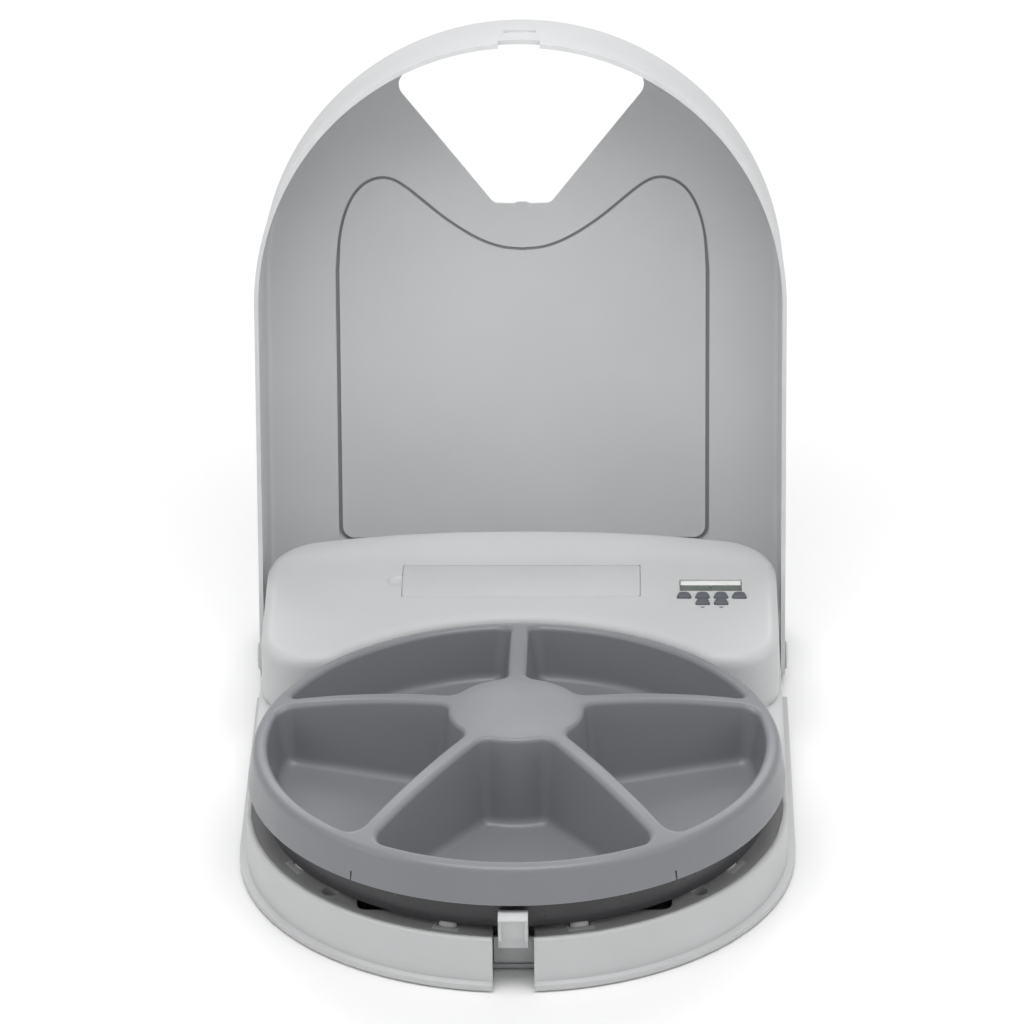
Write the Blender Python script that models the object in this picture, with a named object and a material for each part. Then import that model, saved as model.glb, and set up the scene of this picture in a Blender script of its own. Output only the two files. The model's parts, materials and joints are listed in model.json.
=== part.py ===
"""Automatic pet feeder: round base, turning five-bowl tray, rear control housing and a hinged lid."""
import math

import bmesh
import bpy
from mathutils import Matrix, Vector

# All sizes below are millimetres and are turned into metres when a mesh is made.
MM = 0.001
GAP = 0.3

# Plan of the base: a half circle in front, straight sides, rounded rear corners.
FLANGE_R = 160.0
WALL_R = 155.8
WALL_T = 2.6
BASE_REAR_Y = 250.0
REAR_CORNER_R = 30.0
FLANGE_LIP = 1.6
FLANGE_Z0 = 1.0
FLANGE_Z1 = 4.4
BASE_TOP_Z = 31.3
DISH_R = 152.6
DISH_FLAT_R = 147.0
DECK_Z = 28.3
DECK_T = 2.8

# Front notch, latch and finger recess.
NOTCH_HALF = 11.6
NOTCH_Y = -134.0
LATCH_HALF = 8.3
LATCH_TIP_Y = -158.4
LATCH_TOP_Z = 47.4
LATCH_TRAVEL = 3.0
SPRING_POCKET = 3.0

# Rectangular well and the tower that carries the drive.
WELL_HALF_X = 88.0
WELL_Y0 = -116.5
WELL_Y1 = -56.0
WELL_FLOOR_Z = 10.0
TOWER_R = 35.0
TOWER_TOP_Z = 70.0

# Rollers that carry the tray.
ROLLER_RING_R = 138.0
ROLLER_R = 5.6
ROLLER_W = 4.6
ROLLER_Z = 27.2
ROLLER_ANGLES = (-105.3, -74.7, -151.3, -28.7, 147.4, 32.6)
ROLLER_NAMES = ("front_left", "front_right", "side_left", "side_right", "rear_left", "rear_right")
STUB_R = 1.3

# Tray with five bowls under a domed top.
TRAY_R = 154.0
RIM_R = 148.5
SKIRT_Z = 51.75
RIM_Z = 73.0
HUB_Z = 95.4
HUB_FLAT_R = 30.0
TRAY_T = 2.4
BOWLS = 5
BOWL_R0 = 38.5
BOWL_R1 = 142.5
DIVIDER_HALF = 5.0
BOWL_FLOOR_Z = 41.5
BOWL_DRAFT = 4.5
TRACK_R0 = 132.5
TRACK_R1 = 143.5
TRAY_SIDES = 60

# Rear housing.
HOUSING_FRONT_R = 157.6
HOUSING_SIDE_X = 153.6
HOUSING_FRONT_Y = 112.5
HOUSING_T = 2.6
FACE_Z = 72.7
FACE_SLOPE = 0.08
CREASE_Y = 224.0
RISER_SLOPE = 0.5
HUMP_Z = 88.3
HUMP_DROP = 0.000507
EDGE_R = 7.0

# Battery compartment for four D cells, two over two.
CELL_R = 16.6
CELL_L = 60.5
CELL_NUB = 1.4
CELL_Y = 199.4
CELL_TOP_Z = 55.8
DOOR_HALF_X = 71.6
DOOR_Y0 = 181.2
DOOR_Y1 = 217.4
DOOR_T = 2.2

# Display and six keys.
DISPLAY_X0 = 95.0
DISPLAY_X1 = 132.3
DISPLAY_Y0 = 187.4
DISPLAY_Y1 = 200.8
KEY_W = 8.4
KEY_D = 6.6
KEY_PITCH = 11.0
KEY_X0 = 97.6
KEY_Y0 = 181.9
KEY_Y1 = 174.6
KEY_TRAVEL = 1.0

# Lid.
LID_R = 159.2
LID_T = 2.6
LID_EDGE_Z = 5.0
LID_CREST_Z = 100.5
LID_DROP = 0.00034
LID_FILLET = 6.0
LID_REAR_Y = 215.0
HINGE_Y = 219.5
HINGE_Z = 15.5
HINGE_TAB_R = 12.5
PIN_R = 3.2
LID_OPEN = 101.1
RECESS_DEPTH = 1.3
PANEL_PROUD = 0.4
WINDOW_R = 144.8
WINDOW_X = 78.6
WINDOW_Y = -120.8

# Gear train: pinion, compound gear and output gear, module in millimetres.
GEAR_M = 1.25
PINION_TEETH = 8
LARGE_TEETH = 36
SMALL_TEETH = 9
OUTPUT_TEETH = 44
MOTOR_Y = 20.0
LOWER_GEAR_Z = 8.0
UPPER_GEAR_Z = 15.4
GEAR_W = 5.0

FOOT_R = 8.0
FOOT_H = 2.0
COVER_T = 2.6


def clear_scene():
    for obj in list(bpy.data.objects):
        bpy.data.objects.remove(obj, do_unlink=True)


def make_material(name, colour, roughness, metallic=0.0):
    mat = bpy.data.materials.new(name)
    mat.use_nodes = True
    shader = mat.node_tree.nodes["Principled BSDF"]
    shader.inputs["Base Color"].default_value = (*colour, 1.0)
    shader.inputs["Roughness"].default_value = roughness
    shader.inputs["Metallic"].default_value = metallic
    return mat


def object_from(bm, name, mat=None, origin=(0.0, 0.0, 0.0)):
    """Turn a millimetre bmesh into an object whose origin sits at the given point."""
    shift = Vector(origin)
    for vert in bm.verts:
        vert.co = (vert.co - shift) * MM
    bmesh.ops.recalc_face_normals(bm, faces=bm.faces[:])
    mesh = bpy.data.meshes.new(name)
    bm.to_mesh(mesh)
    bm.free()
    obj = bpy.data.objects.new(name, mesh)
    obj.location = shift * MM
    bpy.context.scene.collection.objects.link(obj)
    if mat is not None:
        obj.data.materials.append(mat)
    return obj


def add_boolean(obj, tool, operation):
    mod = obj.modifiers.new(operation.lower(), "BOOLEAN")
    mod.operation = operation
    mod.solver = "EXACT"
    mod.object = tool


def bake(obj, tools):
    """Apply the modifiers of an object, clean the mesh and remove the tool objects."""
    bpy.context.view_layer.update()
    graph = bpy.context.evaluated_depsgraph_get()
    mesh = bpy.data.meshes.new_from_object(obj.evaluated_get(graph))
    obj.modifiers.clear()
    obj.data = mesh
    for tool in tools:
        bpy.data.objects.remove(tool, do_unlink=True)
    bm = bmesh.new()
    bm.from_mesh(mesh)
    bmesh.ops.remove_doubles(bm, verts=bm.verts[:], dist=0.00002)
    bmesh.ops.dissolve_degenerate(bm, edges=bm.edges[:], dist=0.00001)
    bmesh.ops.dissolve_limit(bm, angle_limit=math.radians(0.2), verts=bm.verts[:], edges=bm.edges[:])
    bm.to_mesh(mesh)
    bm.free()


def cut(obj, *tools):
    for tool in tools:
        add_boolean(obj, tool, "DIFFERENCE")
    bake(obj, tools)


def join(obj, *tools):
    for tool in tools:
        add_boolean(obj, tool, "UNION")
    bake(obj, tools)


def common(obj, tool):
    add_boolean(obj, tool, "INTERSECT")
    bake(obj, [tool])


def keep_material(obj, mat):
    obj.data.materials.clear()
    obj.data.materials.append(mat)
    for face in obj.data.polygons:
        face.material_index = 0


def shade(obj, angle=32.0):
    for face in obj.data.polygons:
        face.use_smooth = True
    obj.data.set_sharp_from_angle(angle=math.radians(angle))


def loft(rings, bm=None):
    """Closed solid through rings with the same number of points."""
    bm = bm or bmesh.new()
    rows = [[bm.verts.new(point) for point in ring] for ring in rings]
    count = len(rows[0])
    for low, high in zip(rows, rows[1:]):
        for i in range(count):
            j = (i + 1) % count
            bm.faces.new((low[i], low[j], high[j], high[i]))
    bm.faces.new(rows[0][::-1])
    bm.faces.new(rows[-1])
    return bm


def prism(outline, z0, z1, bm=None):
    return loft([[(x, y, z0) for x, y in outline], [(x, y, z1) for x, y in outline]], bm)


def box(x0, x1, y0, y1, z0, z1, bm=None):
    return prism([(x0, y0), (x1, y0), (x1, y1), (x0, y1)], z0, z1, bm)


def circle(radius, segments, cx=0.0, cy=0.0, start=0.0):
    step = math.tau / segments
    return [(cx + radius * math.cos(start + i * step), cy + radius * math.sin(start + i * step))
            for i in range(segments)]


def arc(cx, cy, radius, a0, a1, segments):
    points = []
    for i in range(segments + 1):
        a = math.radians(a0 + (a1 - a0) * i / segments)
        points.append((cx + radius * math.cos(a), cy + radius * math.sin(a)))
    return points


def revolve(profile, segments, bm=None):
    """Solid of revolution about Z from a closed profile of (radius, height) points."""
    bm = bm or bmesh.new()
    rows = []
    for radius, z in profile:
        if radius < 1e-6:
            rows.append([bm.verts.new((0.0, 0.0, z))])
        else:
            rows.append([bm.verts.new((x, y, z)) for x, y in circle(radius, segments)])
    pairs = list(zip(rows, rows[1:] + rows[:1]))
    for low, high in pairs:
        for i in range(segments):
            j = (i + 1) % segments
            ring = [low[i % len(low)], low[j % len(low)], high[j % len(high)], high[i % len(high)]]
            corners = list(dict.fromkeys(ring))
            if len(corners) > 2:
                bm.faces.new(corners)
    return bm


def place(bm, matrix):
    bmesh.ops.transform(bm, matrix=matrix, verts=bm.verts[:])
    return bm


def inset(points, distance):
    """Offset a counter-clockwise outline inwards."""
    count = len(points)
    moved = []
    for i in range(count):
        before = Vector(points[i]) - Vector(points[i - 1])
        after = Vector(points[(i + 1) % count]) - Vector(points[i])
        n0 = Vector((-before.y, before.x)).normalized()
        n1 = Vector((-after.y, after.x)).normalized()
        mid = (n0 + n1).normalized()
        moved.append(tuple(Vector(points[i]) + mid * (distance / max(mid.dot(n0), 0.3))))
    return moved


def rounded(corners, segments=4):
    """Outline from (x, y, radius) corners, each rounded by its own radius."""
    points = []
    count = len(corners)
    for i in range(count):
        here = Vector(corners[i][:2])
        radius = corners[i][2]
        back = (Vector(corners[i - 1][:2]) - here).normalized()
        ahead = (Vector(corners[(i + 1) % count][:2]) - here).normalized()
        half = math.acos(max(-1.0, min(1.0, back.dot(ahead)))) / 2
        if radius <= 0.0 or half > 1.55:
            points.append(tuple(here))
            continue
        reach = radius / math.tan(half)
        centre = here + (back + ahead).normalized() * (radius / math.sin(half))
        start = here + back * reach - centre
        turn = math.pi - 2 * half
        side = 1.0 if back.cross(ahead) < 0 else -1.0
        for k in range(segments + 1):
            spin = Matrix.Rotation(side * turn * k / segments, 2)
            points.append(tuple(centre + spin @ start))
    return points


def stadium(radius, rear_y, corner, front=40):
    """Plan of the base: front half circle, straight sides and rounded rear corners."""
    points = arc(0, 0, radius, 180, 360, front)
    points += arc(radius - corner, rear_y - corner, corner, 0, 90, 6)
    points += arc(-radius + corner, rear_y - corner, corner, 90, 180, 6)
    return points


def cylinder(radius, z0, z1, segments=24, cx=0.0, cy=0.0, bm=None):
    return prism(circle(radius, segments, cx, cy), z0, z1, bm)


def crosswise(radius, x0, x1, y, z, segments=24, bm=None):
    """Cylinder lying along X."""
    rings = [[(x, y + a, z + b) for a, b in circle(radius, segments)] for x in (x0, x1)]
    return loft(rings, bm)


def polar(radius, degrees):
    a = math.radians(degrees)
    return radius * math.cos(a), radius * math.sin(a)


def spin_z(degrees):
    return Matrix.Rotation(math.radians(degrees), 4, "Z")


def tray_top(radius):
    drop = (HUB_Z - RIM_Z) / RIM_R ** 2
    flat = max(radius, HUB_FLAT_R)
    return HUB_Z - drop * flat ** 2


def face_z(y):
    return FACE_Z + FACE_SLOPE * (y - HOUSING_FRONT_R)


def hump_z(x):
    return HUMP_Z - HUMP_DROP * x * x


def lid_top(distance):
    return LID_CREST_Z - LID_DROP * distance ** 2


# ---------------------------------------------------------------- base

def roller_pods():
    bm = bmesh.new()
    for angle in ROLLER_ANGLES:
        pod = box(ROLLER_RING_R - 8.5, ROLLER_RING_R + 8.5, -9.0, 9.0, ROLLER_Z - 9.0, DECK_Z - 1.0)
        place(pod, spin_z(angle))
        merge(bm, pod)
    return bm


def merge(target, source):
    """Copy one bmesh into another."""
    mesh = bpy.data.meshes.new("merge")
    source.to_mesh(mesh)
    source.free()
    target.from_mesh(mesh)
    bpy.data.meshes.remove(mesh)


def roller_pockets():
    bm = bmesh.new()
    half = ROLLER_W / 2 + GAP
    for angle in ROLLER_ANGLES:
        depth = ROLLER_Z - ROLLER_R - 1.0
        wheel = box(ROLLER_RING_R - half - 1.6, ROLLER_RING_R + half, -ROLLER_R - 0.8, ROLLER_R + 0.8,
                    depth, DECK_Z + 5.0)
        place(wheel, spin_z(angle))
        merge(bm, wheel)
    return bm


def stub_slots():
    bm = bmesh.new()
    half = ROLLER_W / 2 + 3.0
    for angle in ROLLER_ANGLES:
        slot = box(ROLLER_RING_R - half, ROLLER_RING_R + half, -STUB_R - GAP, STUB_R + GAP,
                   ROLLER_Z - STUB_R - GAP, DECK_Z + 5.0)
        place(slot, spin_z(angle))
        merge(bm, slot)
    return bm


DECK_SCREWS = tuple(polar(140.5, a) for a in (-137.3, -42.7))
COVER_SCREWS = ((-120.0, 30.0), (120.0, 30.0), (-132.0, 232.0), (132.0, 232.0))


def well_plan(grow):
    x = WELL_HALF_X + grow
    y0 = WELL_Y0 - grow
    y1 = WELL_Y1 + grow
    r = 6.0 + grow * 0.8
    return rounded([(-x, y0, r), (x, y0, r), (x, y1, r), (-x, y1, r)])


def build_base_shell(mat):
    outer = [(0.0, FLANGE_Z0), (0.0, FLANGE_Z1), (FLANGE_R - WALL_R, FLANGE_Z1 + 0.2),
             (FLANGE_R - WALL_R + 0.3, BASE_TOP_Z - 1.2), (FLANGE_R - WALL_R + 1.3, BASE_TOP_Z)]
    rings = []
    for offset, z in outer:
        ring = stadium(FLANGE_R - offset, BASE_REAR_Y + FLANGE_LIP - min(offset, 3.2),
                       REAR_CORNER_R)
        rings.append([(x, y, z) for x, y in ring])
    shell = object_from(loft(rings), "base_shell", mat)
    rise = BASE_TOP_Z + 4
    inner = stadium(WALL_R - WALL_T, BASE_REAR_Y - WALL_T, REAR_CORNER_R - WALL_T)
    cavity = object_from(prism(inner, -1.0, DECK_Z - DECK_T), "cavity")
    dish = object_from(revolve([(0.0, DECK_Z), (DISH_FLAT_R, DECK_Z), (DISH_R, BASE_TOP_Z - 0.4),
                                (DISH_R + 0.4, rise), (0.0, rise)], 60), "dish")
    cut(shell, cavity, dish)
    well = object_from(prism(well_plan(2.4), WELL_FLOOR_Z - 2.4, DECK_Z - 1.0), "well")
    tower = object_from(cylinder(TOWER_R, DECK_Z - 1.5, TOWER_TOP_Z, 40), "tower")
    notch_wall = object_from(box(-NOTCH_HALF - 2.4, NOTCH_HALF + 2.4, -154.0, NOTCH_Y + 14.4,
                                 FLANGE_Z0 + 3.0, DECK_Z - 1.0), "notch_wall")
    pods = object_from(roller_pods(), "pods")
    posts = bmesh.new()
    for x, y in DECK_SCREWS:
        cylinder(7.6, 5.0, DECK_Z - 1.0, 20, x, y, posts)
    for x, y in COVER_SCREWS:
        cylinder(4.6, FLANGE_Z0 + COVER_T + GAP, DECK_Z - 1.0, 16, x, y, posts)
    post = object_from(posts, "posts")
    join(shell, well, tower, notch_wall, pods, post)
    tools = [object_from(prism(well_plan(0.0), WELL_FLOOR_Z, DECK_Z + 5), "well_cut")]
    tools.append(object_from(cylinder(TOWER_R - 2.4, 0.0, TOWER_TOP_Z - 2.4, 40), "tower_cut"))
    tools.append(object_from(cylinder(8.6, TOWER_TOP_Z - 4, TOWER_TOP_Z + 3, 24), "shaft_hole"))
    tools.append(object_from(box(-NOTCH_HALF, NOTCH_HALF, -170.0, NOTCH_Y + 12.0, -1.0, BASE_TOP_Z + 6),
                             "notch_cut"))
    tools.append(object_from(roller_pockets(), "roller_cut"))
    tools.append(object_from(stub_slots(), "stub_cut"))
    holes = bmesh.new()
    for x, y in DECK_SCREWS:
        loft([[(a, b, z) for a, b in circle(r, 16, x, y)] for r, z in
              ((2.0, -1.0), (2.0, 15.0), (5.0, 15.0), (5.0, DECK_Z + 6))], holes)
    for x, y in COVER_SCREWS:
        cylinder(1.7, 0.0, DECK_Z - 4.0, 12, x, y, holes)
    tools.append(object_from(holes, "screw_cut"))
    tools.append(object_from(box(-73.0, 73.0, CELL_Y - 21.5, CELL_Y + 21.5, -1.0, BASE_TOP_Z + 5),
                             "battery_cut"))
    tools.append(object_from(box(88.0, 140.0, 170.0, 210.0, -1.0, BASE_TOP_Z + 5), "lead_cut"))
    relief = bmesh.new()
    for side in (-1, 1):
        x0, x1 = sorted((side * (WALL_R + 0.1), side * (FLANGE_R + 5.0)))
        box(x0, x1, HINGE_Y - 34.0, HINGE_Y + HINGE_TAB_R + 3.0, -1.0, FLANGE_Z1 + 2.0, relief)
    tools.append(object_from(relief, "relief"))
    pins = bmesh.new()
    for side in (-1, 1):
        crosswise(PIN_R + 0.2, side * 150.0, side * 165.0, HINGE_Y, HINGE_Z, 20, pins)
    tools.append(object_from(pins, "pin_cut"))
    cut(shell, *tools)
    keep_material(shell, mat)
    shade(shell)
    return shell


def build_bottom_cover(mat):
    plan = stadium(WALL_R - WALL_T - GAP, BASE_REAR_Y - WALL_T - GAP, REAR_CORNER_R - WALL_T - GAP)
    cover = object_from(prism(plan, FLANGE_Z0, FLANGE_Z0 + COVER_T), "bottom_cover", mat)
    holes = bmesh.new()
    for x, y in COVER_SCREWS:
        loft([[(a, b, z) for a, b in circle(r, 12, x, y)] for r, z in
              ((3.6, -1.0), (3.6, FLANGE_Z0 + 1.3), (1.9, FLANGE_Z0 + 1.3), (1.9, 12.0))], holes)
    for x, y in foot_points():
        cylinder(FOOT_R + GAP, -1.0, FOOT_H + GAP, 20, x, y, holes)
    tools = [object_from(holes, "holes")]
    tools.append(object_from(box(-NOTCH_HALF - 2.8, NOTCH_HALF + 2.8, -170, NOTCH_Y, -1, 12), "notch"))
    cut(cover, *tools)
    boss = bmesh.new()
    revolve([(0.0, FLANGE_Z0 + COVER_T - 0.5), (5.0, FLANGE_Z0 + COVER_T - 0.5), (5.0, 7.4), (2.4, 7.4),
             (2.4, FLANGE_Z0 + COVER_T + 0.6), (0.0, FLANGE_Z0 + COVER_T + 0.6)], 24, boss)
    cx, cy = compound_axis()
    base = FLANGE_Z0 + COVER_T - 0.5
    shaft = revolve([(2.4, base), (4.6, base), (4.6, 7.4), (2.4, 7.4)], 24)
    place(shaft, Matrix.Translation((cx, cy, 0)))
    merge(boss, shaft)
    join(cover, object_from(boss, "boss"))
    keep_material(cover, mat)
    shade(cover)
    return cover


def foot_points():
    return ((-82.0, -108.0), (82.0, -108.0), (-118.0, 205.0), (118.0, 205.0))


def build_feet(mat):
    for (x, y), name in zip(foot_points(), ("front_left", "front_right", "rear_left", "rear_right")):
        rings = [(FOOT_R - 0.6, 0.0), (FOOT_R, 0.5), (FOOT_R, FOOT_H)]
        bm = loft([[(a, b, z) for a, b in circle(r, 20, x, y)] for r, z in rings])
        shade(object_from(bm, "foot_" + name, mat))


def screw(name, x, y, head_z, head_r, head_h, shank_r, length, up, mat):
    """Pan-head screw with a cross recess; up is +1 when the head faces upwards."""
    profile = [(0.0, head_z), (head_r, head_z), (head_r, head_z + head_h * 0.5 * up),
               (head_r * 0.72, head_z + head_h * 0.9 * up), (0.0, head_z + head_h * up)]
    tip_z = head_z - length * up
    root_z = head_z + 0.2 * up
    shank = [(0.0, tip_z), (shank_r, tip_z + 1.4 * up), (shank_r, root_z), (0.0, root_z)]
    obj = object_from(place(revolve(profile, 14), Matrix.Translation((x, y, 0))), name, mat)
    body = object_from(place(revolve(shank, 8), Matrix.Translation((x, y, 0))), "shank")
    join(obj, body)
    arm = head_r * 0.62
    top = head_z + (head_h + 0.6) * up
    deep = head_z + head_h * 0.45 * up
    lo, hi = min(top, deep), max(top, deep)
    first = object_from(box(x - arm, x + arm, y - 0.45, y + 0.45, lo, hi), "cross_a")
    second = object_from(box(x - 0.45, x + 0.45, y - arm, y + arm, lo, hi), "cross_b")
    cut(obj, first, second)
    keep_material(obj, mat)
    shade(obj)
    return obj


def build_screws(mat):
    for (x, y), side in zip(DECK_SCREWS, ("left", "right")):
        screw("deck_screw_" + side, x, y, 15.0 + GAP, 3.8, 2.4, 1.6, 11.0, 1, mat)
    names = ("front_left", "front_right", "rear_left", "rear_right")
    for (x, y), name in zip(COVER_SCREWS, names):
        screw("cover_screw_" + name, x, y, FLANGE_Z0 + 1.3 - GAP, 3.1, 0.9, 1.35, 12.0, -1, mat)


def build_rollers(mat):
    half = ROLLER_W / 2
    profile = [(0.0, -half - 2.6), (STUB_R, -half - 2.6), (STUB_R, -half), (ROLLER_R - 0.5, -half),
               (ROLLER_R, -half + 0.5), (ROLLER_R, half - 0.5), (ROLLER_R - 0.5, half), (STUB_R, half),
               (STUB_R, half + 2.6), (0.0, half + 2.6)]
    for angle, name in zip(ROLLER_ANGLES, ROLLER_NAMES):
        bm = place(revolve(profile, 16), Matrix.Rotation(math.radians(90), 4, "Y"))
        place(bm, spin_z(angle))
        x, y = polar(ROLLER_RING_R, angle)
        place(bm, Matrix.Translation((x, y, ROLLER_Z)))
        shade(object_from(bm, "roller_" + name, mat, (x, y, ROLLER_Z)))


def build_latch(mat, spring_mat):
    """Sliding latch: finger pad low in the notch, hook at the top."""
    back = NOTCH_Y + 4.6
    profile = [(NOTCH_Y, 4.4), (back, 4.4), (back, 27.0), (-141.0, 30.0), (-148.6, 31.4),
               (-149.4, LATCH_TOP_Z - 0.8), (-150.6, LATCH_TOP_Z), (-154.6, LATCH_TOP_Z),
               (LATCH_TIP_Y, LATCH_TOP_Z - 2.6), (LATCH_TIP_Y, LATCH_TOP_Z - 3.4),
               (-153.6, LATCH_TOP_Z - 3.4), (-153.6, 29.0), (-149.0, 28.2), (-149.0, 22.4), (NOTCH_Y, 20.4)]
    rings = [[(x, y, z) for y, z in profile] for x in (-LATCH_HALF, LATCH_HALF)]
    latch = object_from(loft(rings), "lid_latch", mat, (0.0, NOTCH_Y, 20.0))
    rib = LATCH_HALF - 2.2
    hollow = object_from(box(-rib, rib, -170.0, -152.2, 30.5, LATCH_TOP_Z - 4.6), "hollow")
    floor = back - SPRING_POCKET
    pocket = revolve([(0, floor), (3.2, floor), (3.2, back + 2), (0, back + 2)], 20)
    turn = Matrix.Translation((0, 0, 15.0)) @ Matrix.Rotation(math.radians(-90), 4, "X")
    seat = object_from(place(pocket, turn), "seat")
    cut(latch, hollow, seat)
    keep_material(latch, mat)
    shade(latch)
    start = floor + LATCH_TRAVEL + GAP
    end = NOTCH_Y + 12.0 - GAP
    coil(start, end, 2.4, 0.45, 4, (0.0, 15.0), "latch_spring", spring_mat)


def coil(y0, y1, radius, wire, turns, centre, name, mat, steps=11, taper=0.0):
    """Compression spring lying along Y between two faces."""
    rings = []
    total = turns * steps
    y0 += wire
    y1 -= wire
    for i in range(total + 1):
        t = i / total
        a = math.tau * turns * t
        r = radius - taper * t
        mid = Vector((centre[0] + r * math.cos(a), y0 + (y1 - y0) * t, centre[1] + r * math.sin(a)))
        out = Vector((math.cos(a), 0.0, math.sin(a)))
        rings.append([tuple(mid + out * (wire * u) + Vector((0, wire * v, 0))) for u, v in circle(1.0, 5)])
    obj = object_from(loft(rings), name, mat)
    shade(obj, 60)
    return obj


# ---------------------------------------------------------------- drive

def compound_axis():
    far = GEAR_M * (SMALL_TEETH + OUTPUT_TEETH) / 2
    near = GEAR_M * (PINION_TEETH + LARGE_TEETH) / 2
    y = (far ** 2 - near ** 2 + MOTOR_Y ** 2) / (2 * MOTOR_Y)
    return math.sqrt(far ** 2 - y ** 2), y


def gear_outline(teeth, phase, cx=0.0, cy=0.0):
    """Trapezoidal teeth; the phase is the angle of one tooth centre in degrees."""
    pitch_r = GEAR_M * teeth / 2
    root = pitch_r - 1.15 * GEAR_M
    tip = pitch_r + 0.8 * GEAR_M
    step = 360.0 / teeth
    points = []
    for i in range(teeth):
        mid = phase + i * step
        for r, share in ((root, -0.30), (tip, -0.13), (tip, 0.13), (root, 0.30)):
            a = math.radians(mid + share * step)
            points.append((cx + r * math.cos(a), cy + r * math.sin(a)))
    return points


def build_drive(gear_mat, motor_mat, plate_mat):
    cx, cy = compound_axis()
    link = math.degrees(math.atan2(cy, cx))
    back_link = math.degrees(math.atan2(cy - MOTOR_Y, cx))
    out_z = LOWER_GEAR_Z
    wheel = prism(gear_outline(OUTPUT_TEETH, link), out_z, out_z + GEAR_W)
    output = object_from(wheel, "drive_gear", gear_mat)
    shaft = object_from(revolve([(0.0, 4.6), (2.1, 4.6), (2.1, 7.6), (8.0, 7.6), (8.0, 66.0), (7.2, 67.0),
                                 (0.0, 67.0)], 32), "shaft")
    star = object_from(prism(hex_outline(9.4), 72.4, 86.0), "star")
    stem = object_from(cylinder(7.2, 64.0, 74.0, 32), "stem")
    join(output, shaft, stem, star)
    keep_material(output, gear_mat)
    shade(output)
    wheel = prism(gear_outline(SMALL_TEETH, link + 180 + 180.0 / SMALL_TEETH, cx, cy),
                  out_z - 0.4, UPPER_GEAR_Z + 0.2)
    small = object_from(wheel, "compound_gear", gear_mat, (cx, cy, UPPER_GEAR_Z))
    large = object_from(prism(gear_outline(LARGE_TEETH, back_link + 180 + 180.0 / LARGE_TEETH, cx, cy),
                              UPPER_GEAR_Z, UPPER_GEAR_Z + GEAR_W), "large")
    axle = object_from(cylinder(2.0, 4.4, 22.0, 16, cx, cy), "axle")
    join(small, large, axle)
    keep_material(small, gear_mat)
    shade(small)
    z0 = UPPER_GEAR_Z - 0.3
    pinion = object_from(prism(gear_outline(PINION_TEETH, back_link, 0.0, MOTOR_Y), z0, z0 + GEAR_W + 0.6),
                         "motor_pinion", gear_mat, (0.0, MOTOR_Y, UPPER_GEAR_Z))
    bore = object_from(cylinder(1.3, z0 - 2, z0 + 9, 16, 0.0, MOTOR_Y), "bore")
    cut(pinion, bore)
    keep_material(pinion, gear_mat)
    shade(pinion)
    motor = object_from(cylinder(11.0, 24.8, 56.0, 20, 0.0, MOTOR_Y), "motor", motor_mat)
    nose = object_from(cylinder(4.0, 22.2, 25.4, 20, 0.0, MOTOR_Y), "nose")
    tail = object_from(cylinder(4.6, 55.0, 58.6, 20, 0.0, MOTOR_Y), "tail")
    rod = object_from(cylinder(1.0, 15.6, 23.0, 14, 0.0, MOTOR_Y), "rod")
    join(motor, nose, tail, rod)
    keep_material(motor, motor_mat)
    shade(motor)
    corners = [(-26, -24, 6), (36, -24, 6), (36, 30, 6), (-26, 30, 6)]
    bracket = object_from(prism(rounded(corners), 21.9, 24.4), "motor_bracket", plate_mat)
    tools = [object_from(cylinder(8.5, 20, 27, 28), "shaft_hole"),
             object_from(cylinder(4.4, 20, 27, 24, 0, MOTOR_Y), "nose_hole"),
             object_from(cylinder(2.4, 20, 27, 16, cx, cy), "axle_hole")]
    cut(bracket, *tools)
    keep_material(bracket, plate_mat)
    shade(bracket)


def hex_outline(flat):
    return circle(flat / math.cos(math.pi / 6), 6, start=math.pi / 6)


# ---------------------------------------------------------------- tray

def wedge(half_gap, r0, r1, corner0, corner1, segments=2):
    """Plan of one bowl, pointing along +X, with rounded corners and curved ends."""
    a0 = math.asin(half_gap / r0)
    a1 = math.asin(half_gap / r1)
    reach = math.pi / BOWLS
    outer = [polar(r1, math.degrees(reach - a1) * t) for t in (-0.78, -0.52, -0.26, 0.0, 0.26, 0.52, 0.78)]
    inner = [polar(r0, math.degrees(reach - a0) * t) for t in (0.45, 0.0, -0.45)]
    ends = [polar(r1, math.degrees(a1 - reach)), polar(r1, math.degrees(reach - a1)),
            polar(r0, math.degrees(reach - a0)), polar(r0, math.degrees(a0 - reach))]
    corners = [(*ends[0], corner1)] + [(*p, 0) for p in outer] + [(*ends[1], corner1)]
    corners += [(*ends[2], corner0)] + [(*p, 0) for p in inner] + [(*ends[3], corner0)]
    return rounded(corners, segments)


def bowl_rings(grow, floor_z, top):
    """Rings of one bowl from its floor to the domed top; grow widens the whole bowl."""
    steps = [(BOWL_DRAFT + 5.0, 0.0), (BOWL_DRAFT + 1.2, 1.4), (BOWL_DRAFT, 5.0)]
    rings = []
    for shrink, rise in steps:
        plan = wedge(DIVIDER_HALF + shrink - grow, BOWL_R0 + shrink - grow, BOWL_R1 - shrink + grow,
                     9.0, 9.0)
        rings.append([(x, y, floor_z + rise) for x, y in plan])
    for shrink, drop in top:
        plan = wedge(DIVIDER_HALF + shrink - grow, BOWL_R0 + shrink - grow, BOWL_R1 - shrink + grow,
                     9.0, 9.0)
        rings.append([(x, y, tray_top(math.hypot(x, y)) + drop) for x, y in plan])
    return rings


def five_fold(rings):
    bm = bmesh.new()
    for k in range(BOWLS):
        one = place(loft(rings), spin_z(270.0 + 72.0 * k))
        merge(bm, one)
    return bm


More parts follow.
